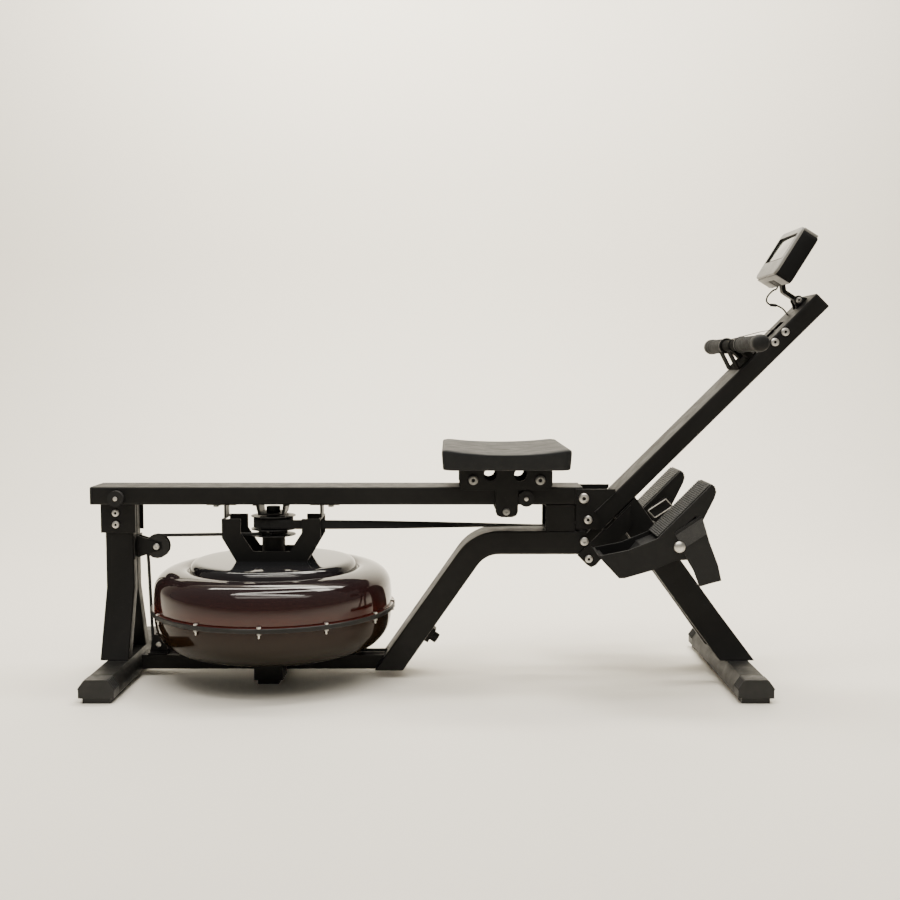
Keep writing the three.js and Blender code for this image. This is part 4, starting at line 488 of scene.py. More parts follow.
def arc(cx, cz, radius, start, end, steps):
    """Points of an arc in the XZ plane; angles in degrees from +X towards +Z."""
    spots = []
    for i in range(steps + 1):
        angle = math.radians(start + (end - start) * i / steps)
        spots.append(Vector((cx + radius * math.cos(angle), 0, cz + radius * math.sin(angle))))
    return spots


# The arm rises at 45 degrees: u runs along it from its foot, n stands out of its upper face.
ARM_FOOT_X, ARM_FOOT_Z = 279.3, 320
LOWER_ROLLER_U, UPPER_ROLLER_U, ARM_ROLLER_R = 553.7, 584, 8.3
HALF = math.sqrt(0.5)


def on_arm(u, n):
    return Vector((ARM_FOOT_X + (u - n) * HALF, 0, ARM_FOOT_Z + (u + n) * HALF))


# CAD nodes keep their shape and get real finishes and slightly rounded edges.
def finish_node(name, material, edge):
    node = nodes[name]
    node.data.materials.clear()
    node.data.materials.append(material)
    node.data.polygons.foreach_set("material_index", [0] * len(node.data.polygons))
    weld = node.modifiers.new("weld", "WELD")
    weld.merge_threshold = 2e-5
    rounded = node.modifiers.new("edge", "BEVEL")
    rounded.width = edge * METRES
    rounded.segments = 2
    rounded.angle_limit = math.radians(40)
    rounded.use_clamp_overlap = True
    node.data.polygons.foreach_set("use_smooth", [True] * len(node.data.polygons))
    weighted = node.modifiers.new("normals", "WEIGHTED_NORMAL")
    weighted.keep_sharp = False
    weighted.weight = 80


for material, edge, names in (
        (coat, 0.9, "seat_rail rear_leg_right rear_leg_left rear_foot_bar base_tube main_tube neck_box arm_tube"
                    " front_leg_right front_leg_left front_foot_bar"),
        (shaded_matte_coat, 0.5, "handle_cradle"),
        (coat, 0.5, "arm_bracket_right arm_bracket_left yoke upper_bearing_bracket upper_pulley_bracket"
                    " lower_pulley_bracket seat_carriage monitor_link"),
        (zinc, 0.6, "pedal_axle"),
        (cap_moulding, 0.6, "rail_end_cap arm_end_cap rear_foot_cap_right rear_foot_cap_left"
                            " front_foot_cap_right front_foot_cap_left"),
        (stop_rubber, 0.6, "rear_stop front_stop"),
        (nylon, 0.4, "seat_roller_rear seat_roller_front lower_roller_right lower_roller_left junction_roller"
                     " arm_roller_lower arm_roller_upper upper_pulley lower_pulley spool"),
        (white_moulding, 0.4, "impeller"),
        (steel, 0.3, "drive_shaft"),
        (shaded_matte_coat, 0.3, "handle_bar"),
        (grip_foam, 1.2, "handle_grip_right handle_grip_left"),
        (pedal_moulding, 0.8, "pedal_right pedal_left")):
    for name in names.split():
        finish_node(name, material, edge)


# Sensor wire: hangs in a short loop from the monitor to the arm, with its plug below the housing.
WIRE_RADIUS = 1.8
wire_line = smooth_path([
    (688.5, 14, 840.5), (684, 14, 832), (677, 14, 829), (666, 14, 817), (664, 14, 806), (672, 14, 799),
    (686, 14, 797), (699, 14, 790), (707.7, 14, 779.7), (711.3, 14, 776.1)], 5)
plug_line = [(2, 0), (2.7, 0), (3.3, 1), (3.4, 12), (2.7, 14), (2, 14)]
wire_plug = Shape().add(*turned(plug_line, facing(671.5, 14, 798.6, (0.99, 0, -0.1)), 24)).piece(
    "wire_plug", black_moulding, None, "black_plastic")
wire = Shape().add(*tube(wire_line, WIRE_RADIUS, 12)).piece("wire", wire_sleeve, None, "cord", ["sensor_wire"])
for piece in (wire, wire_plug):
    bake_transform(piece)


# The water tank: two smoked shells, the ring that clamps them and its small bolts.
TANK_X = -398.0
TANK_R = 251.5
SEAM = 151.0
SHELL_WALL = 2.4
DOME_RISE, BOWL_DROP = 99, 85
FOOT_R = 257.6
RING_HALF = 4.8
AT_TANK = Matrix.Translation(Vector((TANK_X, 0, 0)))
TANK_SIDES = 144


def rounded_profile(points):
    return [(p.x, p.z) for p in smooth_path([(r, 0, z) for r, z in points], 5)]


def shell(outer, wall):
    """A closed profile: the outer line and the same line moved inwards by the wall."""
    inner = []
    for i, (r, z) in enumerate(outer):
        (ar, az), (br, bz) = outer[max(i - 1, 0)], outer[min(i + 1, len(outer) - 1)]
        tangent = Vector((br - ar, bz - az)).normalized()
        inner.append((max(r - tangent.y * wall, 0.0), z + tangent.x * wall))
    return outer + inner[::-1]


def dome_line():
    shares = [(1, 0.02), (1.002, 0.26), (0.995, 0.48), (0.982, 0.595), (0.96, 0.68), (0.932, 0.745), (0.9, 0.792),
              (0.862, 0.826), (0.82, 0.845), (0.778, 0.848), (0.745, 0.828), (0.729, 0.778), (0.718, 0.763),
              (0.708, 0.778), (0.695, 0.888), (0.679, 0.948), (0.655, 0.979), (0.6, 0.99), (0.45, 0.997), (0.3, 1.0)]
    line = rounded_profile([(r * TANK_R, SEAM + h * DOME_RISE) for r, h in shares])
    foot = [(FOOT_R, SEAM + 1), (FOOT_R, SEAM + 4)]
    return foot + [(r, max(z, SEAM + 4)) for r, z in line] + [(30, 249.8), (12, 249.8)]


def bowl_line():
    shares = [(1, 0.02), (1.0, 0.22), (0.988, 0.42), (0.97, 0.57), (0.943, 0.7), (0.91, 0.81), (0.868, 0.898),
              (0.815, 0.96), (0.75, 0.995), (0.66, 1.0), (0.4, 1.0), (0.3, 0.985), (0.2, 0.94)]
    line = rounded_profile([(r * TANK_R, SEAM - h * BOWL_DROP) for r, h in shares])
    foot = [(FOOT_R, SEAM - 1), (FOOT_R, SEAM - 4)]
    return foot + [(r, min(z, SEAM - 4)) for r, z in line] + [(20, 71.2), (0, 71.2)]


Shape().add(*turned(shell(dome_line(), -SHELL_WALL), AT_TANK, TANK_SIDES)).piece(
    "tank_dome", dome, "frame", "smoke_tank", ["tank_upper_shell"])
Shape().add(*turned(shell(bowl_line(), SHELL_WALL), AT_TANK, TANK_SIDES)).piece(
    "tank_bowl", bowl, "frame", "dark_tank", ["tank_lower_shell"])
ring_line = [(r, SEAM + h) for r, h in (
    (253.6, -RING_HALF), (260.4, -RING_HALF), (261.7, -3.4), (261.9, 0), (261.7, 3.4), (260.4, RING_HALF),
    (253.6, RING_HALF))]
Shape().add(*turned(ring_line, AT_TANK, TANK_SIDES)).piece(
    "tank_ring", black_moulding, "frame", "ring_plastic", ["tank_flange"])
tank_bolts = Shape()
stud_line = [(0, 0), (1.9, 0), (1.9, 9.5), (1.2, 10.4), (0, 10.4)]
for i in range(12):
    angle = math.radians(-88 + 30 * i)
    x, y = TANK_X + 257.4 * math.cos(angle), 257.4 * math.sin(angle)
    tank_bolts.add(*hex_nut(x, y, SEAM + RING_HALF, (0, 0, 1), 4.4, 3.4, 0.02))
    tank_bolts.add(*hex_nut(x, y, SEAM - RING_HALF, (0, 0, -1), 4.4, 3.6, 0.4))
    tank_bolts.add(*turned(stud_line, facing(x, y, SEAM - RING_HALF, (0, 0, -1)), 16))
tank_bolts.piece("tank_bolts", zinc, "frame", "zinc")


# Bolts of the frame: bright domed heads in pairs, one on each side.
# Each row holds x, z, the face's distance from the middle, the head's radius and its stem.
FRAME_BOLTS = (
    (-729, 355, 33.7, 7.5, 3.2), (-729, 330, 33.7, 7.5, 3.2), (-722, 388, 61.8, 4.2, 0.4),
    (145, 388, 61.8, 4.2, 0.4), (266.6, 388.8, 54.3, 10.5, 5), (275.9, 343.2, 54.3, 8.5, 5),
    (268.2, 297.1, 54.3, 8.5, 5), (278.1, 259.7, 54.3, 7.75, 5), (-649, 279, 13.8, 6.6, 0.3),
    (-648, 65, 13.8, 5.6, 0.3))
SEAT_BOLTS = ((33, 428, 60, 10, 5), (174, 428, 60, 10, 5), (103, 360.7, 60, 7.6, 0))
SIDES = (-1, 1)
LINK_X, LINK_FACE, LINK_Z = 724.5, 12.3, 806.9


def add_bolts(shape, rows):
    for x, z, face, radius, stem in rows:
        for side in SIDES:
            shape.add(*dome_bolt(x, side * face, z, (0, side, 0), radius, stem))


frame_bolts = Shape()
add_bolts(frame_bolts, FRAME_BOLTS)
for u in (LOWER_ROLLER_U, UPPER_ROLLER_U):
    spot = on_arm(u, ARM_ROLLER_R)
    add_bolts(frame_bolts, [(spot.x, spot.z, 50, 8, 3)])
add_bolts(frame_bolts, [(LINK_X, LINK_Z, LINK_FACE, 6.4, 3)])
for x in (-520, -272):
    for y in (-11, 11):
        frame_bolts.add(*hex_nut(x, y, 369.7, (0, 0, -1), 6, 4.4, 0.02))
frame_bolts.piece("frame_bolts", zinc, "frame", "zinc")
ear_rings = Shape()
ear_line = [(6.9, 0), (9.8, 0), (9.8, 2.4), (9.2, 3.2), (6.9, 3.2)]
for side in SIDES:
    ear_rings.add(*turned(ear_line, facing(LINK_X, side * LINK_FACE, LINK_Z, (0, side, 0)), 40))
ear_rings.piece("ear_rings", black_moulding, "frame", "black_plastic")
seat_bolts = Shape()
add_bolts(seat_bolts, SEAT_BOLTS)
seat_bolts.piece("seat_bolts", darker_dull_zinc, "seat", "zinc")


def corner_line(y0, y1, z0, z1, corner, inset=0.0):
    """A round-cornered outline in a plane, drawn in by inset."""
    line, steps = [], 6
    for cy, cz, start in ((y1 - corner, z1 - corner, 0), (y0 + corner, z1 - corner, 90),
                          (y0 + corner, z0 + corner, 180), (y1 - corner, z0 + corner, 270)):
        for i in range(steps + 1):
            angle = math.radians(start + 90 * i / steps)
            line.append((cy + (corner - inset) * math.cos(angle), cz + (corner - inset) * math.sin(angle)))
    return line


# The seat cushion: a dished, round-cornered polyurethane pad.
PAD_X, PAD_BASE, PAD_THICK = 98, 458, 42
PAD_HALF_X, PAD_HALF_Y, PAD_CORNER = 132, 190, 19
PAD_REST = 459.2
PAD_SWELL = 1.4


def cushion_plan():
    """The cushion's outline: a rectangle with round corners, closely divided."""
    plan, steps = [], 8
    corners = ((1, 1, 0), (-1, 1, 90), (-1, -1, 180), (1, -1, 270))
    for (sx, sy, start), (nx, ny, follow) in zip(corners, corners[1:] + corners[:1]):
        cx, cy = sx * (PAD_HALF_X - PAD_CORNER), sy * (PAD_HALF_Y - PAD_CORNER)
        for i in range(steps + 1):
            angle = math.radians(start + 90 * i / steps)
            plan.append((cx + PAD_CORNER * math.cos(angle), cy + PAD_CORNER * math.sin(angle)))
        angle = math.radians(follow)
        end = (nx * (PAD_HALF_X - PAD_CORNER) + PAD_CORNER * math.cos(angle),
               ny * (PAD_HALF_Y - PAD_CORNER) + PAD_CORNER * math.sin(angle))
        last, count = plan[-1], 16 if sx != nx else 24
        plan += [(last[0] + (end[0] - last[0]) * i / count, last[1] + (end[1] - last[1]) * i / count)
                 for i in range(1, count)]
    return plan


def cushion_points(plan, rings):
    """The rings' points; the top is dished across its length, and more on the near side."""
    points = []
    for inset, height in rings:
        for x, y in plan:
            x, y = x * (1 - inset / PAD_HALF_X), y * (1 - inset / PAD_HALF_Y)
            rise = height * PAD_THICK
            if height > 0.6:
                dip = 8.3 - 1.7 * max(-1.0, min(1.0, y / PAD_HALF_Y)) - (y / PAD_HALF_Y) ** 4
                rise -= dip * max(0.0, 1 - (x / 120) ** 2) * (height - 0.6) / 0.4
            points.append((PAD_X + x, y, PAD_BASE + rise))
    return points


def make_cushion():
    """Rings of (inset, share of the height) from the middle of the underside to the middle of the top."""
    rings = [(132, 0.0), (60, 0.0), (12, 0.0), (5.5, 0.012), (3.2, 0.06), (1.9, 0.2), (1.1, 0.42), (0.4, 0.66),
             (0, 0.84), (0.3, 0.92), (1.4, 0.966), (3.4, 0.99), (6.5, 0.998), (12, 1.0), (24, 1.0), (40, 1.0),
             (60, 1.0), (84, 1.0), (108, 1.0), (132, 1.0)]
    plan = cushion_plan()
    around = len(plan)
    faces = []
    for r in range(len(rings) - 1):
        for i in range(around):
            j = (i + 1) % around
            faces.append((r * around + i, r * around + j, (r + 1) * around + j, (r + 1) * around + i))
    made = Shape().add(cushion_points(plan, rings), faces).piece(
        "seat_cushion", pad, "seat", "pad_foam", ["seat_pad"])
    inflate(made)
    made.data.shade_smooth()
    smooth = made.modifiers.new("subdivide", "SUBSURF")
    smooth.levels = 1
    smooth.render_levels = 1


def inflate(piece):
    """Swells the cushion with a short cloth simulation; points that rest on the carriage stay flat."""
    bpy.context.view_layer.objects.active = piece
    start = [v.co.copy() for v in piece.data.vertices]
    group = piece.vertex_groups.new(name="rest")
    group.add([i for i, co in enumerate(start) if co.z < PAD_REST * METRES], 1.0, "REPLACE")
    cloth = piece.modifiers.new("cloth", "CLOTH")
    cloth.settings.use_pressure = True
    cloth.settings.uniform_pressure_force = 4.0
    cloth.settings.effector_weights.gravity = 0.0
    cloth.settings.tension_stiffness = 12.0
    cloth.settings.bending_stiffness = 4.0
    cloth.settings.vertex_group_mass = "rest"
    last_frame = 16
    cloth.point_cache.frame_start = 1
    cloth.point_cache.frame_end = last_frame
    for step in range(1, last_frame + 1):
        bpy.context.scene.frame_set(step)
    apply_modifiers(piece)
    limit = PAD_SWELL * METRES
    for vertex, co in zip(piece.data.vertices, start):
        move = vertex.co - co
        if move.length > limit:
            vertex.co = co + move * (limit / move.length)
    bpy.context.scene.frame_set(1)


def apply_modifiers(piece):
    depsgraph = bpy.context.evaluated_depsgraph_get()
    baked = bpy.data.meshes.new_from_object(piece.evaluated_get(depsgraph), depsgraph=depsgraph)
    piece.modifiers.clear()
    baked.name = piece.data.name
    piece.data = baked


make_cushion()


# Drive strap: off the winding, a quarter turn on its way, round the junction roller, up inside the arm, over
# the upper roller and out through the slot.
STRAP_WIDTH = 19.6
STRAP_Z, STRAP_AFTER_Z = 331.5, 324.4
JUNCTION_X, JUNCTION_Z, JUNCTION_R = 275.9, 343.2, 18.8
exit_spot = (556.6, 37.6)


def strap_path():
    """The strap's way and its across vector at each point."""
    path, across = [], []
    start, end = Vector((TANK_X, -43.8, STRAP_Z)), Vector((167, 0, STRAP_AFTER_Z))
    steps = 40
    for i in range(steps + 1):
        t = i / steps
        path.append(start.lerp(end, t))
        angle = math.pi / 2 * t
        across.append(Vector((0, math.sin(angle), math.cos(angle))))
    path += [Vector((x, 0, STRAP_AFTER_Z)) for x in (200, 235, 262)]
    path += arc(JUNCTION_X, JUNCTION_Z, JUNCTION_R, -90, -45, 8)
    path += [on_arm(u, 0) for u in (60, 140, 240, 340, 440, 540, 575)]
    for i in range(13):
        angle = math.radians(-90 + 145.0 * i / 12)
        path.append(on_arm(UPPER_ROLLER_U + ARM_ROLLER_R * math.cos(angle),
                           ARM_ROLLER_R + ARM_ROLLER_R * math.sin(angle)))
    turn_end = path[-1]
    path += [turn_end.lerp(on_arm(*exit_spot), share) for share in (0.3, 0.6, 1)]
    across += [Vector((0, 1, 0))] * (len(path) - len(across))
    return path, across


strap_line, strap_sides = strap_path()
Shape().add(*ribbon(strap_line, lambda i, forward: strap_sides[i], STRAP_WIDTH, 1.0)).piece(
    "drive_web", drive_webbing, "frame", "webbing", ["drive_strap"])


# The strap's wound turns on the spool, and the cord's turn below them.
TURN_STEPS = 64
STRAP_TURNS = 4
CORD_Z = 309.5


def coil(first, last, start, height, radius_at):
    """Points of a flat winding round the spool; radius_at gives its radius after so many turns."""
    path = []
    for i in range(first, last + 1):
        turns = i / TURN_STEPS
        angle, radius = start + 2 * math.pi * turns, radius_at(turns)
        path.append(Vector((TANK_X + radius * math.cos(angle), radius * math.sin(angle), height)))
    return path


strap_turns = coil(0, STRAP_TURNS * TURN_STEPS, -math.pi / 2 - 8 * math.pi, STRAP_Z,
                   lambda turns: 40.2 + 2.3 * (turns / STRAP_TURNS))
Shape().add(*ribbon(strap_turns, (0, 0, 1), STRAP_WIDTH, 0.55)).piece(
    "strap_turns", drive_webbing, "spool", "webbing", ["strap_winding"])
cord_turn = coil(TURN_STEPS, 2 * TURN_STEPS, -math.pi / 2, CORD_Z, lambda turns: 22.5 + 7.5 * turns / 2)
Shape().add(*tube(cord_turn, 3.5, 12)).piece("cord_turns", cord_sleeve, "spool", "cord", ["bungee_winding"])

# The bungee: from the spool over the upper pulley, down, round the lower one and along inside the base.
UPPER_PULLEY, LOWER_PULLEY = (-649, 279, 23), (-648, 65, 15.2)
LEAVE_X, LEAVE_Y = -426.3, -30
bungee_line = [Vector((-419.3, LEAVE_Y, CORD_Z)), Vector((LEAVE_X, LEAVE_Y, CORD_Z))]
bungee_line += [Vector((LEAVE_X + (UPPER_PULLEY[0] - LEAVE_X) * t, LEAVE_Y * (1 - t), CORD_Z - 7.5 * t))
                for t in (0.15, 0.35, 0.6, 0.85)]
bungee_line += arc(*UPPER_PULLEY, 90, 182.4, 14)
bungee_line += [Vector((-671 + 7.2 * t, 0, 278 - 210 * t)) for t in (0.2, 0.4, 0.6, 0.8)]
bungee_line += arc(*LOWER_PULLEY, 182, 270, 12)
bungee_line += [Vector((x, 0, z)) for x, z in (
    (-560, 49.8), (-400, 49.8), (-250, 49.8), (-152, 50), (-110, 66), (-79, 91))]
Shape().add(*tube(bungee_line, 3.45, 14)).piece("bungee", cord_sleeve, "frame", "cord", ["bungee_cord"])


# Handle strap: a loop about the middle of the bar and its run to the slot.
BAR = (498.3, 56.1)
LOOP_R, TOUCH_R = 13.5, 13.6
toward = Vector((exit_spot[0] - BAR[0], exit_spot[1] - BAR[1]))
tangent = math.atan2(toward.y, toward.x) + math.acos(TOUCH_R / toward.length)
strap_run = []
for i in range(25):
    angle = tangent + 2 * math.pi * 0.93 * (1 - i / 24)
    strap_run.append(on_arm(BAR[0] + LOOP_R * math.cos(angle), BAR[1] + LOOP_R * math.sin(angle)))
touch = (BAR[0] + TOUCH_R * math.cos(tangent), BAR[1] + TOUCH_R * math.sin(tangent))
for i in range(1, 25):
    t = i / 24
    strap_run.append(on_arm(touch[0] + (exit_spot[0] - touch[0]) * t, touch[1] + (exit_spot[1] - touch[1]) * t))
handle_web = Shape().add(*ribbon(strap_run, (0, 1, 0), STRAP_WIDTH, 1.1)).piece(
    "handle_web", shaded_handle_webbing, None, "webbing", ["handle_strap"])
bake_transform(handle_web)


# Grip ends: turned plugs and a collar line on each foam sleeve.
bar = on_arm(*BAR)
collar_line = [(15.2, 0), (17.2, 0.6), (17.5, 2.5), (17.2, 4.4), (15.2, 5)]
end_line = [(0, 193), (16.6, 193), (17.3, 193.6), (17.4, 196), (17.3, 210), (16.4, 215), (14.2, 218.6), (10, 220.8),
            (5, 221.6), (0, 221.8)]
grip_collars, grip_ends = Shape(), Shape()
for side in SIDES:
    grip_collars.add(*turned(collar_line, facing(bar.x, side * 62, bar.z, (0, side, 0)), 48))
    grip_ends.add(*turned(end_line, facing(bar.x, 0, bar.z, (0, side, 0)), 56))
grip_collars.piece("grip_collars", black_moulding, "handle", "black_plastic")
grip_ends.piece("grip_ends", grip_rubber, "handle", "grip_foam")


# Monitor: black housing with a pale front and underside, a pale top plate whose colour paints the highlight along the
# top edge, and a dark frame round the sunken display.
MONITOR = Matrix.Translation(Vector((691, 0, 850))) @ Matrix.Rotation(math.radians(31.5), 4, "Y")
COVER = (-74.4, 74.4, -11.6, 102, 13)
WINDOW = (-62, 64, 26, 86, 4)


def rounded_box(x0, x1, y0, y1, z0, z1, corner, front):
    """A box with round corners in YZ; its -X face is drawn in by front."""
    outline = corner_line(y0, y1, z0, z1, corner)
    cy, cz = (y0 + y1) / 2, (z0 + z1) / 2
    points, faces = [], []
    levels = [(x0, front), (x0 + front * 0.35, front * 0.35), (x0 + front, 0), (x1 - 0.8, 0), (x1, 0.8)]
    for x, inset in levels:
        for y, z in outline:
            points.append((x, y - math.copysign(min(inset, abs(y - cy)), y - cy),
                           z - math.copysign(min(inset, abs(z - cz)), z - cz)))
    count = len(outline)
    for level in range(len(levels) - 1):
        for i in range(count):
            j = (i + 1) % count
            faces.append((level * count + i, level * count + j, (level + 1) * count + j, (level + 1) * count + i))
    faces.append(tuple(range(count)))
    faces.append(tuple((len(levels) - 1) * count + i for i in reversed(range(count))))
    return [MONITOR @ Vector(p) for p in points], faces


def window_frame(rings):
    """A frame round a window: rings of (x, outline), each joined to the next and the last to the first."""
    points = [MONITOR @ Vector((x, y, z)) for x, line in rings for y, z in line]
    count, faces = len(rings[0][1]), []
    for level in range(len(rings)):
        a, b = level * count, (level + 1) % len(rings) * count
        faces += [(a + i, a + (i + 1) % count, b + (i + 1) % count, b + i) for i in range(count)]
    return points, faces


window_edge, window_inside = corner_line(*WINDOW, -1), corner_line(*WINDOW, 0.5)
Shape().add(*rounded_box(-32, 4.6, -75, 75, -12, 97.5, 11, 2.6)).piece(
    "monitor_body", monitor_moulding, "monitor", "black_plastic", ["monitor_housing"], bevel=2.2)
cover = Shape().add(*window_frame([
    (-31, corner_line(*COVER)), (-34.6, corner_line(*COVER)), (-36, corner_line(*COVER, 0.7)),
    (-36.8, corner_line(*COVER, 2.4)), (-36.8, window_edge), (-31, window_edge)]))
# The top plate's pale colour is a painted highlight along the housing's top edge.
for plate in ((-31.5, 2, -71, 71, 95, 102, 3, 0.8),       # the top
              (-30.5, -18, -71, 71, -13, -11.4, 0.7, 0.3),  # the underside, with a notch round the link
              (-19.5, 2, -71, -22, -13, -11.4, 0.7, 0.3),
              (-19.5, 2, 22, 71, -13, -11.4, 0.7, 0.3)):
    cover.add(*rounded_box(*plate))
cover.piece("monitor_front", silver_moulding, "monitor", "silver_plastic", ["monitor_screen"], bevel=0.3)
Shape().add(*window_frame([
    (-31.5, window_edge), (-37, window_edge), (-37, window_inside), (-31.5, window_inside)])).piece(
    "monitor_bezel", monitor_moulding, "monitor", "black_plastic")
Shape().add(*rounded_box(-32.9, -31.8, -62, 64, 26, 86, 3, 0.1)).piece(
    "monitor_glass", display, "monitor", "silver_plastic")


# Pedals: ribbed tread mats and hook-and-loop foot straps with wire buckles.
AXLE_X, AXLE_Z = 439, 309.4
PEDAL_LENGTH, PEDAL_HEIGHT = 233, 188


def pedal_line(shares):
    """Points of (x, z) from shares of the pedal's length and height, measured from its axle."""
    return [(AXLE_X + a * PEDAL_LENGTH, AXLE_Z + b * PEDAL_HEIGHT) for a, b in shares]


def on_line(line, share):
    """The spot at a share of the length of a line of (x, z) points."""
    lengths = [math.dist(p, q) for p, q in zip(line, line[1:])]
    rest = share * sum(lengths)
    for (p, q), length in zip(zip(line, line[1:]), lengths):
        if rest <= length + 1e-9:
            t = rest / length
            return (p[0] + (q[0] - p[0]) * t, p[1] + (q[1] - p[1]) * t)
        rest -= length
    return line[-1]


def tread_mat(side, body):
    """A thin mat up the tread and over its tip, with a fine rib at each step of its length."""
    line = pedal_line([(-0.178, 0.094), (0.236, 0.617), (0.256, 0.64), (0.276, 0.645), (0.294, 0.625), (0.305, 0.58)])
    steps = int(sum(math.dist(p, q) for p, q in zip(line, line[1:])) / 1.15)
    points, faces = [], []
    for i in range(steps + 1):
        spot, ahead = on_line(line, i / steps), on_line(line, min(1.0, (i + 0.8) / steps))
        behind = on_line(line, max(0.0, (i - 0.8) / steps))
        along = Vector((ahead[0] - behind[0], 0, ahead[1] - behind[1])).normalized()
        out = Vector((-along.z, 0, along.x))
        rise = 2.7 if i % 4 in (1, 2) else 1.5
        for y, height in ((102, 0.4), (102, rise), (201, rise), (201, 0.4)):
            points.append(Vector((spot[0], 0, spot[1])) + out * height + Vector((0, side * y, 0)))
    for i in range(steps):
        faces += [(4 * i + k, 4 * i + (k + 1) % 4, 4 * i + 4 + (k + 1) % 4, 4 * i + 4 + k) for k in range(4)]
    faces += [(0, 1, 2, 3), tuple(4 * steps + k for k in (3, 2, 1, 0))]
    Shape().add(points, faces).piece("tread_" + body, tread_rubber, body, "stop_rubber")


def flat_band(left, right, depth_at, gauge, down=28, over=8):
    """A strap between two lines of (x, z) points, gauge thick; depth_at gives y of its inner face."""
    points, maps, faces = [], [], []
    run = sum(math.dist(p, q) for p, q in zip(left, left[1:]))
    for layer in (0, 1):
        for i in range(down + 1):
            a, b = on_line(left, i / down), on_line(right, i / down)
            for j in range(over + 1):
                t = j / over
                edge = 0.32 if j in (0, over) else 0.0
                y = depth_at(i / down, t)
                thick = gauge * (edge if layer == 0 else 1 - edge)
                points.append((a[0] + (b[0] - a[0]) * t, y + math.copysign(thick, y), a[1] + (b[1] - a[1]) * t))
                maps.append((math.dist(a, b) * t, run * i / down))
    row, sheet = over + 1, (down + 1) * (over + 1)
    for i in range(down):
        for j in range(over):
            k = i * row + j
            faces.append((k, k + 1, k + row + 1, k + row))
            faces.append((sheet + k, sheet + k + row, sheet + k + row + 1, sheet + k + 1))
    rim = list(range(row)) + [i * row + over for i in range(1, down + 1)]
    rim += [down * row + j for j in range(over - 1, -1, -1)] + [i * row for i in range(down - 1, 0, -1)]
    for k, n in zip(rim, rim[1:] + rim[:1]):
        faces.append((k, sheet + k, sheet + n, n))
    return points, faces, maps


def foot_strap(side, body, node):
    """A hook-and-loop strap that hangs down the pedal's outer face, through the slot to a wire ring."""
    gauge = 2.4
    low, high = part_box(node)
    depths = [abs(low[1]), abs(high[1])]
    inner_face, outer_face = min(depths) * 1000, max(depths) * 1000
    left = pedal_line([(-0.041, 0.147), (0.069, -0.146), (0.12, -0.252), (0.172, -0.422)])
    right = pedal_line([(0.185, 0.33), (0.253, 0.051), (0.33, -0.194), (0.361, -0.359)])

    def hang(down, over):
        belly = 1.7 * math.sin(math.pi * min(1.0, down * 1.15))
        bulge = belly + 2.2 * max(0.0, down - 0.55) * math.sin(6 * over + 1)
        return side * (outer_face - gauge + bulge)

    strap = Shape().add(*flat_band(left, right, hang, gauge))
    strap.add(*flat_band(pedal_line([(-0.073, 0.179), (0.017, 0.067)]), pedal_line([(0.116, 0.349), (0.197, 0.232)]),
                         lambda down, over: side * inner_face, gauge, 6, 6))
    slot_start, slot_end = pedal_line([(-0.041, 0.147), (0.185, 0.33)])
    slope = Vector((slot_end[0] - slot_start[0], 0, slot_end[1] - slot_start[1]))
    middle = Vector((slot_start[0], 0, slot_start[1])) + slope * 0.5
    through = [middle + Vector((0, side * y, 0))
               for y in (inner_face + 1, (inner_face + outer_face) / 2, outer_face - 1)]
    strap.add(*ribbon(through, slope.normalized(), slope.length * 0.9, 2.2))
    strap.piece("strap_" + body, foot_webbing, body, "webbing", [node])
    patch = flat_band(
        [on_line(left, s) for s in (0.04, 0.16, 0.3)], [on_line(right, s) for s in (0.03, 0.14, 0.27)],
        lambda down, over: side * (outer_face + 0.1 + 1.7 * math.sin(math.pi * 0.33 * (down + 0.1))), 0.9, 10, 6)
    Shape().add(*patch).piece("patch_" + body, velcro, body, "webbing")
    corners = pedal_line([(-0.045, 0.185), (0.125, 0.325), (0.19, 0.24), (0.022, 0.1)])
    ring = []
    for i, (x, z) in enumerate(corners):
        px, pz = corners[i - 1]
        nx, nz = corners[(i + 1) % 4]
        for end_x, end_z, shares in ((px, pz, (0.12, 0.04)), (nx, nz, (0.04, 0.12))):
            for share in shares:
                ring.append(Vector((x + (end_x - x) * share, side * (inner_face - 0.6), z + (end_z - z) * share)))
    Shape().add(*tube(ring, 1.2, 10, True)).piece("ring_" + body, zinc, body, "zinc")


for side, body, node in ((-1, "right_pedal", "pedal_strap_right"), (1, "left_pedal", "pedal_strap_left")):
    tread_mat(side, body)
    foot_strap(side, body, node)


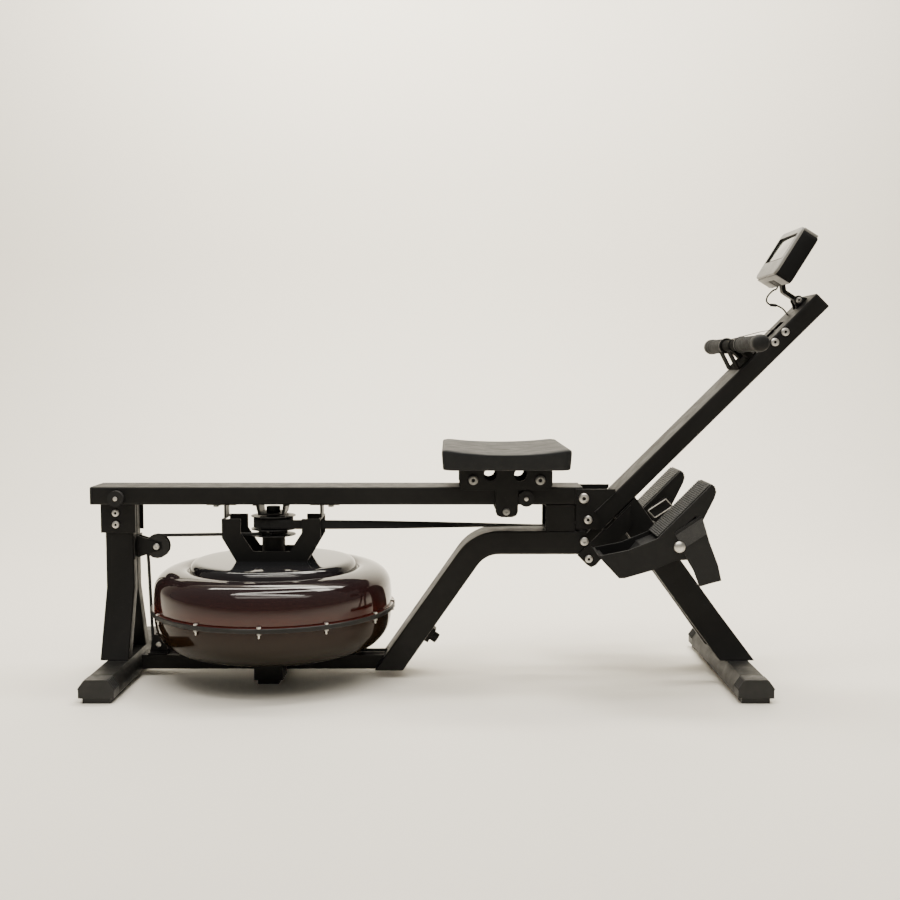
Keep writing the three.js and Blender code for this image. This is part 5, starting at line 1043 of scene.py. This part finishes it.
# Floor, backdrop and light, in metres
def ground():
    """A floor that turns up into a wall behind the machine, as one swept sheet."""
    made = bpy.data.objects.new("floor", bpy.data.meshes.new("floor"))
    bpy.context.scene.collection.objects.link(made)
    half_width, front, bend_start, bend_radius, wall = 9.0, -6, 1.4, 1.2, 5
    rows = []
    for i in range(30):
        t = i / 29
        if t < 0.3:
            rows.append((front + (bend_start - front) * t / 0.3, 0.0))
        elif t < 0.6:
            angle = math.pi / 2 * (t - 0.3) / 0.3
            rows.append((bend_start + bend_radius * math.sin(angle), bend_radius - bend_radius * math.cos(angle)))
        else:
            rows.append((bend_start + bend_radius, bend_radius + wall * (t - 0.6) / 0.4))
    points = [(x, y, z) for y, z in rows for x in (-half_width, half_width)]
    faces = [(2 * i, 2 * i + 1, 2 * i + 3, 2 * i + 2) for i in range(len(rows) - 1)]
    made.data.from_pydata(points, [], faces)
    made.data.shade_smooth()
    made.data.materials.append(plain_ground("ground", (0.80, 0.76, 0.685), 0.6))


def area_light(name, location, target, width, depth, power, colour):
    data = bpy.data.lights.new(name, "AREA")
    data.shape = "RECTANGLE"
    data.size = width
    data.size_y = depth
    data.energy = power
    data.color = colour
    lamp = bpy.data.objects.new(name, data)
    lamp.location = location
    lamp.rotation_euler = (Vector(target) - Vector(location)).to_track_quat("-Z", "Y").to_euler()
    bpy.context.scene.collection.objects.link(lamp)


ground()
world = bpy.data.worlds.new("studio")
world.use_nodes = True
world.node_tree.nodes["Background"].inputs["Color"].default_value = (1.0, 0.965, 0.89, 1)
world.node_tree.nodes["Background"].inputs["Strength"].default_value = 0.3
bpy.context.scene.world = world
for light in (
        ("ceiling_front", (-0.3, -1.3, 2.9), (0, 0.1, 0.3), 3.0, 0.35, 46, (1, 0.96, 0.875)),
        ("ceiling_mid", (0.1, -0.3, 3.0), (0, 0.0, 0.3), 3.4, 0.4, 66, (1, 0.96, 0.875)),
        ("ceiling_back", (0.2, 1.0, 3.0), (0, 0.8, 0.0), 3.6, 0.6, 80, (1, 0.955, 0.86)),
        ("wall_wash", (0.0, 0.9, 3.2), (0, 2.6, 1.3), 4.5, 0.8, 225, (1, 0.955, 0.85)),
        ("floor_wash", (0.0, -2.2, 3.0), (0, -0.9, 0.0), 4.0, 0.8, 36, (1, 0.96, 0.875))):
    area_light(*light)
